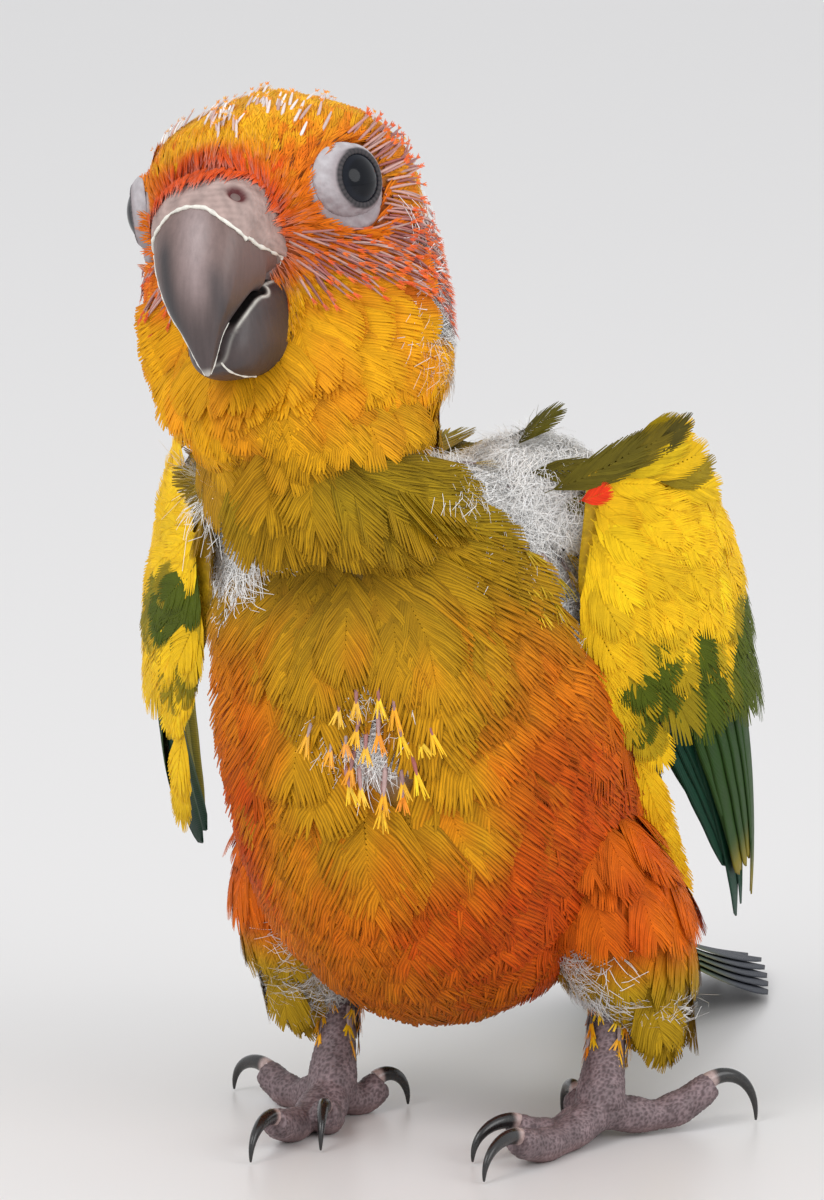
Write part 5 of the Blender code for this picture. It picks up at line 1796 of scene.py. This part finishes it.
def make_down():
    """White down on the shoulders, keel, nape and by the legs."""
    colours = bpy.context.scene.conure_colours
    fluff = down_material()
    horny = quill_material("conure_ankle_sheaths")
    rng = np.random.default_rng(61)
    u, v = BODY.scatter(1.45, rng, (0.8, 15.0))
    point, flow = head_roots(u, v)
    keep = rng.uniform(0, 1, len(u)) < ramp(down_share(point), 0.4, 0.8) * (0.45 + 0.55 * face_on(point))
    u, v, flow = chosen(keep, u, v, flow)
    flow = unit(flow) + rng.normal(0, 0.6, flow.shape)
    length = rng.uniform(4.0, 7.5, len(u)) * (1 - 0.35 * mark(seen(BODY.surface(u, v)), *KEEL_PATCH))
    sizes = (length, length, rng.uniform(0.3, 1.3, len(u)))
    tone = np.array(colours.down) * rng.uniform(0.92, 1.06, (len(u), 1))
    piece = coat("body_down", "down", BODY, u, v, flow, sizes, tone * 0.8, tone, fluff, rng, streak=0.1)
    mound = Ground(shoulder_mound, 1, (-90.0, 90.0), (0.0, 360.0))
    rows, columns = np.meshgrid(np.linspace(-89.5, 89.5, 60), np.linspace(0, 360, 80, endpoint=False), indexing="ij")
    rings = shoulder_mound(rows, columns)
    tint = np.array(colours.down) * (0.8 + 0.2 * mottle(rings, 3.0, 63))[..., None]
    piece = build_loft("shoulder_mound", rings, skin_material("conure_mound"), tint)
    u, v = mound.scatter(1.35, rng, (-30.0, 86.0))
    _, _, slope_up, _ = mound.slopes(u, v)
    flow = rng.normal(0, 0.7, slope_up.shape) - unit(slope_up) * 0.5
    length = rng.uniform(3.5, 6.0, len(u))
    sizes = (length, length, rng.uniform(0.3, 1.2, len(u)))
    tone = np.array(colours.down) * rng.uniform(0.92, 1.04, (len(u), 1))
    piece = coat("shoulder_down", "down", mound, u, v, flow, sizes, tone * 0.9, tone, fluff, rng, streak=0.1)
    place, flow, size, tones = (np.array(part, float) for part in zip(*SHOULDER_FEATHERS))
    tones = tones * np.array(colours.scapular)
    sizes = size.T
    olive = feather_material("conure_shoulder_feathers", 2, 0.4)
    piece = coat("shoulder_feathers", "covert", mound, *place.T, flow, sizes, tones * 0.5, tones, olive, rng, start=0.6)
    for side in SIDES:
        ground = Ground(thigh_surface(side, 1.4), 1, (0.0, 1.0), (0.0, 360.0))
        u, v = ground.scatter(1.5, rng, (0.0, 0.65))
        point, _, slope_up, _ = ground.slopes(u, v)
        keep = rng.uniform(0, 1, len(u)) < thigh_down(side, point, u)
        u, v, slope_up = chosen(keep, u, v, slope_up)
        flow = -unit(slope_up) + rng.normal(0, 0.5, slope_up.shape)
        length = rng.uniform(4.0, 7.0, len(u))
        sizes = (length, length, rng.uniform(0.3, 1.3, len(u)))
        tone = np.array(colours.down) * rng.uniform(0.7, 1.0, (len(u), 1))
        piece = coat("thigh_down_" + side, "down", ground, u, v, flow, sizes, tone * 0.7, tone, fluff, rng, streak=0.1)
        ground = Ground(shank_surface(side), 1, (0.0, 1.0), (0.0, 360.0))
        u, v = ground.scatter(2.0, rng, (0.5, 1.0))
        u, v = chosen(np.abs(np.cos(np.radians(v))) > 0.35, u, v)
        _, _, slope_up, _ = ground.slopes(u, v)
        sizes = (rng.uniform(4.5, 6.5, len(u)), np.full(len(u), 1.5), rng.uniform(0.2, 0.6, len(u)))
        flow = -unit(slope_up) + rng.normal(0, 0.12, slope_up.shape)
        tone = mix(colours.wing_yellow, colours.cheek, rng.uniform(0, 1, len(u)))
        root = mix(colours.claw, colours.bare_skin, rng.uniform(0, 1, len(u)))
        piece = coat("ankle_pins_" + side, "shoulder_pin", ground, u, v, flow, sizes, root, tone, horny, rng)


def shank_surface(side):
    """Function for points of the upright part of a leg, at share u from foot to ankle and v degrees round it."""
    foot, ankle = np.array(FOOT[side]), np.array(ANKLE[side])

    def surface(u, v):
        u, turn = np.broadcast_arrays(u, np.radians(v))
        spoke = np.stack((np.cos(turn), np.sin(turn), 0 * turn), axis=-1)
        return foot + (ankle - foot) * u[..., None] + spoke * np.interp(u, (0, 0.5, 1), SHANK_RADII[3:0:-1])[..., None]

    return surface


def shoulder_mound(u, v):
    """Point of the shoulder's mound, an ellipsoid, at u degrees up and v degrees round it."""
    up, turn = np.radians(u), np.radians(v)
    way = np.stack((np.cos(up) * np.cos(turn), np.cos(up) * np.sin(turn), np.sin(up)), axis=-1)
    centre, radii = (np.array(part) for part in SHOULDER_MOUND)
    return centre + way * radii


def thigh_down(side, points, up):
    """1 where down shows on a thigh: on its inner side, and all round its lowest part."""
    inward = from_body(points)[..., 1] - from_body(np.array(THIGH_LOW[side]))[1]
    inward = -inward if side == "left" else inward
    high = 0.4 if side == "left" else 0.65
    return np.clip(ramp(inward, 1.0, 5.0) * ramp(up, high, high - 0.25) + ramp(up, 0.1, 0.02), 0, 1)


def down_material():
    """Down: pale fibres with a fine grain and a matt finish."""
    shader = Shader("conure_down", roughness=0.9)
    shader.set("Specular IOR Level", 0.1)
    grain = shader.noise(shader.place(), 700.0, 2.0)
    shader.set("Base Color", shader.brighten(shader.tint(), 0.85 + grain * 0.3))
    return shader.material


def pin_coat(name, kind, u_range, spacing, share, sizes, seed, root, tip, material, lean=0.0, **growth):
    """Pins between two sections where share(points) allows, with roots and tips of those two colours each."""
    rng = np.random.default_rng(seed)
    u, v = BODY.scatter(spacing, rng, u_range)
    point, flow = head_roots(u, v)
    flow = unit(flow - HEAD_AXES[2] * lean * ramp(from_head(point)[..., 2], 2, -4)[:, None])
    tips = point + flow * sizes[0]
    keep = rng.uniform(0, 1, len(u)) < share(point) * (1 - np.maximum(eye_ring(point), bill_ring(point)))
    keep &= eye_ring(tips) < 0.1
    u, v, flow = chosen(keep, u, v, flow)
    flow = flow + rng.normal(0, 0.12, flow.shape)
    size = rng.uniform(0.8, 1.25, len(u))
    sizes = (sizes[0] * size, sizes[1], coat_depth(u, body_surface(u, v)) + rng.uniform(0.1, 0.6, len(u)))
    colours = (mix(*pair, rng.uniform(0, 1, len(u))) for pair in (root, tip))
    return coat(name, kind, BODY, u, v, flow, sizes, *colours, material, rng, ruffle=0.05, start=0.15, **growth)


def cheek_share(points):
    """1 on the side of the head behind the mouth and the eye, where feathers are still in their sheaths."""
    ahead, aside, high = np.moveaxis(from_head(points), -1, 0)
    low_edge = -12.5 - 0.35 * np.maximum(-ahead, 0)
    side = ramp(np.abs(aside), 6, 10) * (0.25 + 0.75 * (aside > 0))
    behind = np.maximum(ramp(high, -2, -5), ramp(ahead, 0, -3))
    rear = 1 - 0.8 * ramp(ahead, -3, -8) * ramp(high, -7, -3)
    return ramp(high, low_edge - 1.5, low_edge + 1.5) * ramp(high, 8, 4) * ramp(ahead, 11, 7) * side * behind * rear


def crown_share(points):
    """1 on the front of the crown and over the eyes."""
    ahead, aside, high = np.moveaxis(from_head(points), -1, 0)
    front = ramp(ahead, -2, 4) * ramp(high, 11.5, 9.5)
    return (0.15 + 0.6 * front) * ramp(high, 4, 8) * ramp(mottle(points, 7.0, 72), 0.3, 0.7)


def make_pins():
    """Growing feathers in their sheaths: on the cheeks, the crown, the keel and the left shoulder."""
    colours = bpy.context.scene.conure_colours
    horny = quill_material("conure_sheaths")
    sheaths = (colours.sheath, colours.sheath_pale)
    tips = (colours.forehead, colours.face)
    pieces = [
        pin_coat("cheek_pins", "pin", (11.8, 16.4), 1.15, cheek_share, (5.6, 0.8), 71, sheaths, tips, horny, lean=0.3),
        pin_coat("crown_pins", "pin", (15.0, 18.6), 1.3, crown_share, (3.8, 0.9), 73, (colours.sheath_pale, colours.down), (colours.crown, colours.cheek), horny),
    ]

    def keel(points):
        return 0.7 * mark(seen(points), *KEEL_PATCH) * face_on(points)

    def shoulder(points):
        return 0.45 * down_share(points) * ramp(from_body(points)[..., 1], 0, 6) * face_on(points)

    fresh = (colours.cheek, colours.wing_yellow)
    olive = (colours.wing_olive, colours.wing_yellow)
    grey = (colours.bare_skin, colours.claw)
    pieces = [
        pin_coat("keel_pins", "shoulder_pin", (4.0, 8.0), 2.6, keel, (6.5, 1.4), 74, (colours.sheath, colours.bare_skin), fresh, horny),
        pin_coat("shoulder_pins", "shoulder_pin", (6.0, 9.6), 3.2, shoulder, (8.0, 1.3), 75, grey, olive, horny),
    ]


# Studio


def make_studio():
    """Pale floor, soft daylight, two large soft lights and a camera at the photograph's place."""
    setup = bpy.context.scene.conure_studio
    scene = bpy.context.scene
    mesh = bpy.data.meshes.new("floor")
    half = 6.0
    mesh.from_pydata([(-half, -half, 0), (half, -half, 0), (half, half, 0), (-half, half, 0)], [], [(0, 1, 2, 3)])
    floor = bpy.data.objects.new("floor", mesh)
    scene.collection.objects.link(floor)
    shader = Shader("studio_floor", roughness=0.35)
    cloud = shader.noise(shader.place(), 2.0, 2.0)
    shader.set("Base Color", shader.mix(cloud, tuple(setup.floor_colour), tuple(c * 1.02 for c in setup.floor_colour)))
    mesh.materials.append(shader.material)
    world = bpy.data.worlds.new("studio_world")
    scene.world = world
    world.use_nodes = True
    background = world.node_tree.nodes["Background"]
    background.inputs["Color"].default_value = (0.97, 0.98, 1.0, 1.0)
    background.inputs["Strength"].default_value = setup.daylight
    target = (np.array((0.0, 0.0, setup.target_height)) + SHIFT) * MM
    for name, place, size, power in (
        ("key_light", (-0.9, -1.1, 1.3), 0.9, setup.key_power),
        ("fill_light", (1.2, -0.9, 0.7), 1.0, setup.fill_power),
    ):
        light = bpy.data.lights.new(name, "AREA")
        light.energy = power
        light.shape = "DISK"
        light.size = size
        lamp = bpy.data.objects.new(name, light)
        scene.collection.objects.link(lamp)
        lamp.location = Vector(target) + Vector(place)
        lamp.rotation_euler = (-Vector(place)).to_track_quat("-Z", "Y").to_euler()
    e = math.radians(setup.elevation)
    back = Vector((0.0, -math.cos(e), math.sin(e)))
    lens = bpy.data.cameras.new("camera")
    camera = bpy.data.objects.new("camera", lens)
    scene.collection.objects.link(camera)
    camera.location = Vector(target) + back * setup.distance * MM
    camera.rotation_euler = (-back).to_track_quat("-Z", "Y").to_euler()
    lens.sensor_width = 36.0
    lens.sensor_fit = "AUTO"
    lens.lens = lens.sensor_width / 2 * setup.distance / (setup.frame_height / 2)
    lens.clip_start = 0.01
    scene.camera = camera
    scene.view_settings.view_transform = "Standard"


# Settings, operators and panel


def colour_setting(name, description, default):
    return FloatVectorProperty(
        name=name, description=description, default=default, size=3, min=0.0, max=1.0, subtype="COLOR"
    )


class ConureColours(bpy.types.PropertyGroup):
    """Colours of the bird's feathers, skin and horn."""

    crown: colour_setting("Crown", "Top of the head", (0.88, 0.43, 0.012))
    forehead: colour_setting("Forehead", "Band over the bill", (0.78, 0.09, 0.01))
    face: colour_setting("Face", "Round the eyes and upper cheeks", (0.80, 0.15, 0.008))
    cheek: colour_setting("Cheek", "Orange of the cheeks", (0.84, 0.25, 0.008))
    ruff: colour_setting("Ruff", "Lower cheeks", (0.86, 0.40, 0.006))
    chin: colour_setting("Chin", "Under the bill", (0.55, 0.23, 0.008))
    breast: colour_setting("Breast", "Upper breast", (0.42, 0.235, 0.006))
    belly: colour_setting("Belly", "Lower breast and belly", (0.64, 0.29, 0.006))
    flank: colour_setting("Flank", "Sides and lower belly", (0.72, 0.15, 0.003))
    vent: colour_setting("Vent", "Reddest feathers of the sides", (0.60, 0.062, 0.002))
    mantle: colour_setting("Mantle", "Back", (0.26, 0.23, 0.010))
    wing_yellow: colour_setting("Wing yellow", "Wing coverts", (0.96, 0.60, 0.01))
    wing_green: colour_setting("Wing green", "Green of the wing", (0.034, 0.082, 0.005))
    wing_olive: colour_setting("Wing olive", "Olive streaks of the coverts", (0.40, 0.28, 0.012))
    flight: colour_setting("Flight feathers", "Blue-green flight feathers", (0.010, 0.058, 0.032))
    down: colour_setting("Down", "White down", (0.97, 0.955, 0.93))
    bare_skin: colour_setting("Bare skin", "Mauve skin", (0.45, 0.33, 0.31))
    cere: colour_setting("Cere", "Pinkish skin over the bill", (0.58, 0.42, 0.38))
    rim: colour_setting("Peeling rim", "White rims of the horn", (0.85, 0.82, 0.74))
    eye_skin: colour_setting("Eye skin", "Whitish ring round the eye", (0.56, 0.53, 0.55))
    # Eye shade: mottling of the bare skin round the eye, the painted shade below it, and the lids' darker inner half
    eye_shade: colour_setting("Eye shade", "Mauve-grey parts of the ring round the eye", (0.27, 0.205, 0.215))
    tail_tip: colour_setting("Tail tip", "Slate-blue tips of the tail feathers", (0.045, 0.05, 0.065))
    tail_edge: colour_setting("Tail edge", "Pale edges of the tail's tips", (0.36, 0.34, 0.28))
    flight_edge: colour_setting("Flight edge", "Blue-green edges of the front flight feathers", (0.040, 0.17, 0.015))
    leg_seam: colour_setting("Leg seams", "Pale seams between the scales of the feet", (0.26, 0.19, 0.20))
    scapular: colour_setting("Scapular", "Dark olive feathers over the shoulder", (0.12, 0.095, 0.008))
    # Dark skin of the throat spot, and the painted shade inside the nostrils
    dark_skin_and_nostril_shade: colour_setting("Dark skin", "Nostrils and throat spot", (0.11, 0.018, 0.02))
    lid_edge: colour_setting("Lid edge", "Dark edge of the lids", (0.02, 0.02, 0.023))
    pupil: colour_setting("Pupil", "Middle of the eye", (0.004, 0.005, 0.008))
    iris: colour_setting("Iris", "Dark iris", (0.008, 0.010, 0.016))
    horn: colour_setting("Horn", "Bill", (0.175, 0.112, 0.10))
    horn_light: colour_setting("Light horn", "Pale sides of the bill", (0.36, 0.275, 0.27))
    horn_tip: colour_setting("Horn tip", "Dark tip of the bill", (0.035, 0.032, 0.036))
    leg: colour_setting("Leg", "Scales of the legs", (0.11, 0.075, 0.08))
    sole: colour_setting("Sole", "Pinkish soles", (0.30, 0.18, 0.175))
    claw: colour_setting("Claw", "Claws", (0.012, 0.011, 0.011))
    thigh_tip: colour_setting("Thigh tips", "Hanging tips of the thighs", (0.45, 0.27, 0.008))
    sheath: colour_setting("Sheath", "Mauve sheaths of growing feathers", (0.36, 0.10, 0.09))
    sheath_pale: colour_setting("Pale sheath", "Pale streaks on the sheaths", (0.62, 0.38, 0.33))


class ConureStudio(bpy.types.PropertyGroup):
    """Camera and light."""

    distance: FloatProperty(name="Distance", description="From camera to target, in mm", default=900.0, min=100.0)
    elevation: FloatProperty(name="Elevation", description="Camera above the horizon, in degrees", default=9.5)
    target_height: FloatProperty(name="Target height", description="Point looked at, in mm", default=72.0)
    frame_height: FloatProperty(name="Frame height", description="Height seen at the target, in mm", default=160.8)
    daylight: FloatProperty(name="Daylight", description="Strength of the even light", default=0.86, min=0.0)
    key_power: FloatProperty(name="Key light", description="Power from the bird's right", default=11.0, subtype="POWER")
    fill_power: FloatProperty(name="Fill light", description="Power from its left", default=7.0, subtype="POWER")
    floor_colour: colour_setting("Floor", "Pale floor", (0.76, 0.745, 0.735))


class CONURE_OT_studio(bpy.types.Operator):
    """Make the floor, lights and camera."""

    bl_idname = "conure.studio"
    bl_label = "Studio"

    def execute(self, context):
        make_studio()
        return {"FINISHED"}


class CONURE_OT_skin(bpy.types.Operator):
    """Make the skin of the trunk, neck and head."""

    bl_idname = "conure.skin"
    bl_label = "Skin"

    def execute(self, context):
        make_skin()
        return {"FINISHED"}


class CONURE_OT_bill(bpy.types.Operator):
    """Make both mandibles, the cere and the rims."""

    bl_idname = "conure.bill"
    bl_label = "Bill"

    def execute(self, context):
        make_bill()
        return {"FINISHED"}


class CONURE_OT_eyes(bpy.types.Operator):
    """Make the eyeballs and lids."""

    bl_idname = "conure.eyes"
    bl_label = "Eyes"

    def execute(self, context):
        make_eyes()
        return {"FINISHED"}


class CONURE_OT_wings(bpy.types.Operator):
    """Make both folded wings."""

    bl_idname = "conure.wings"
    bl_label = "Wings"

    def execute(self, context):
        make_wings()
        return {"FINISHED"}


class CONURE_OT_tail(bpy.types.Operator):
    """Make the tail's feathers and coverts."""

    bl_idname = "conure.tail"
    bl_label = "Tail"

    def execute(self, context):
        make_tail()
        return {"FINISHED"}


class CONURE_OT_legs(bpy.types.Operator):
    """Make the thighs, feet and claws."""

    bl_idname = "conure.legs"
    bl_label = "Legs"

    def execute(self, context):
        make_legs()
        return {"FINISHED"}


class CONURE_OT_plumage(bpy.types.Operator):
    """Make the contour feathers of the trunk and head."""

    bl_idname = "conure.plumage"
    bl_label = "Plumage"

    def execute(self, context):
        make_plumage()
        return {"FINISHED"}


class CONURE_OT_down(bpy.types.Operator):
    """Make the white down."""

    bl_idname = "conure.down"
    bl_label = "Down"

    def execute(self, context):
        make_down()
        return {"FINISHED"}


class CONURE_OT_pins(bpy.types.Operator):
    """Make the growing feathers in their sheaths."""

    bl_idname = "conure.pins"
    bl_label = "Pin feathers"

    def execute(self, context):
        make_pins()
        return {"FINISHED"}


OPERATORS = [
    CONURE_OT_studio,
    CONURE_OT_skin,
    CONURE_OT_bill,
    CONURE_OT_eyes,
    CONURE_OT_wings,
    CONURE_OT_tail,
    CONURE_OT_legs,
    CONURE_OT_plumage,
    CONURE_OT_down,
    CONURE_OT_pins,
]


class CONURE_PT_panel(bpy.types.Panel):
    """Lists the makers."""

    bl_idname = "CONURE_PT_panel"
    bl_label = "Conure"
    bl_space_type = "VIEW_3D"
    bl_region_type = "UI"
    bl_category = "Conure"

    def draw(self, context):
        for made in OPERATORS:
            self.layout.operator(made.bl_idname)


CLASSES = [ConureColours, ConureStudio, *OPERATORS, CONURE_PT_panel]


def register():
    for made in CLASSES:
        bpy.utils.register_class(made)
    bpy.types.Scene.conure_colours = PointerProperty(type=ConureColours)
    bpy.types.Scene.conure_studio = PointerProperty(type=ConureStudio)


def unregister():
    del bpy.types.Scene.conure_studio
    del bpy.types.Scene.conure_colours
    for made in reversed(CLASSES):
        bpy.utils.unregister_class(made)


def main():
    register()
    for made in OPERATORS:
        group, name = made.bl_idname.split(".")
        getattr(getattr(bpy.ops, group), name)()


if __name__ == "__main__":
    main()
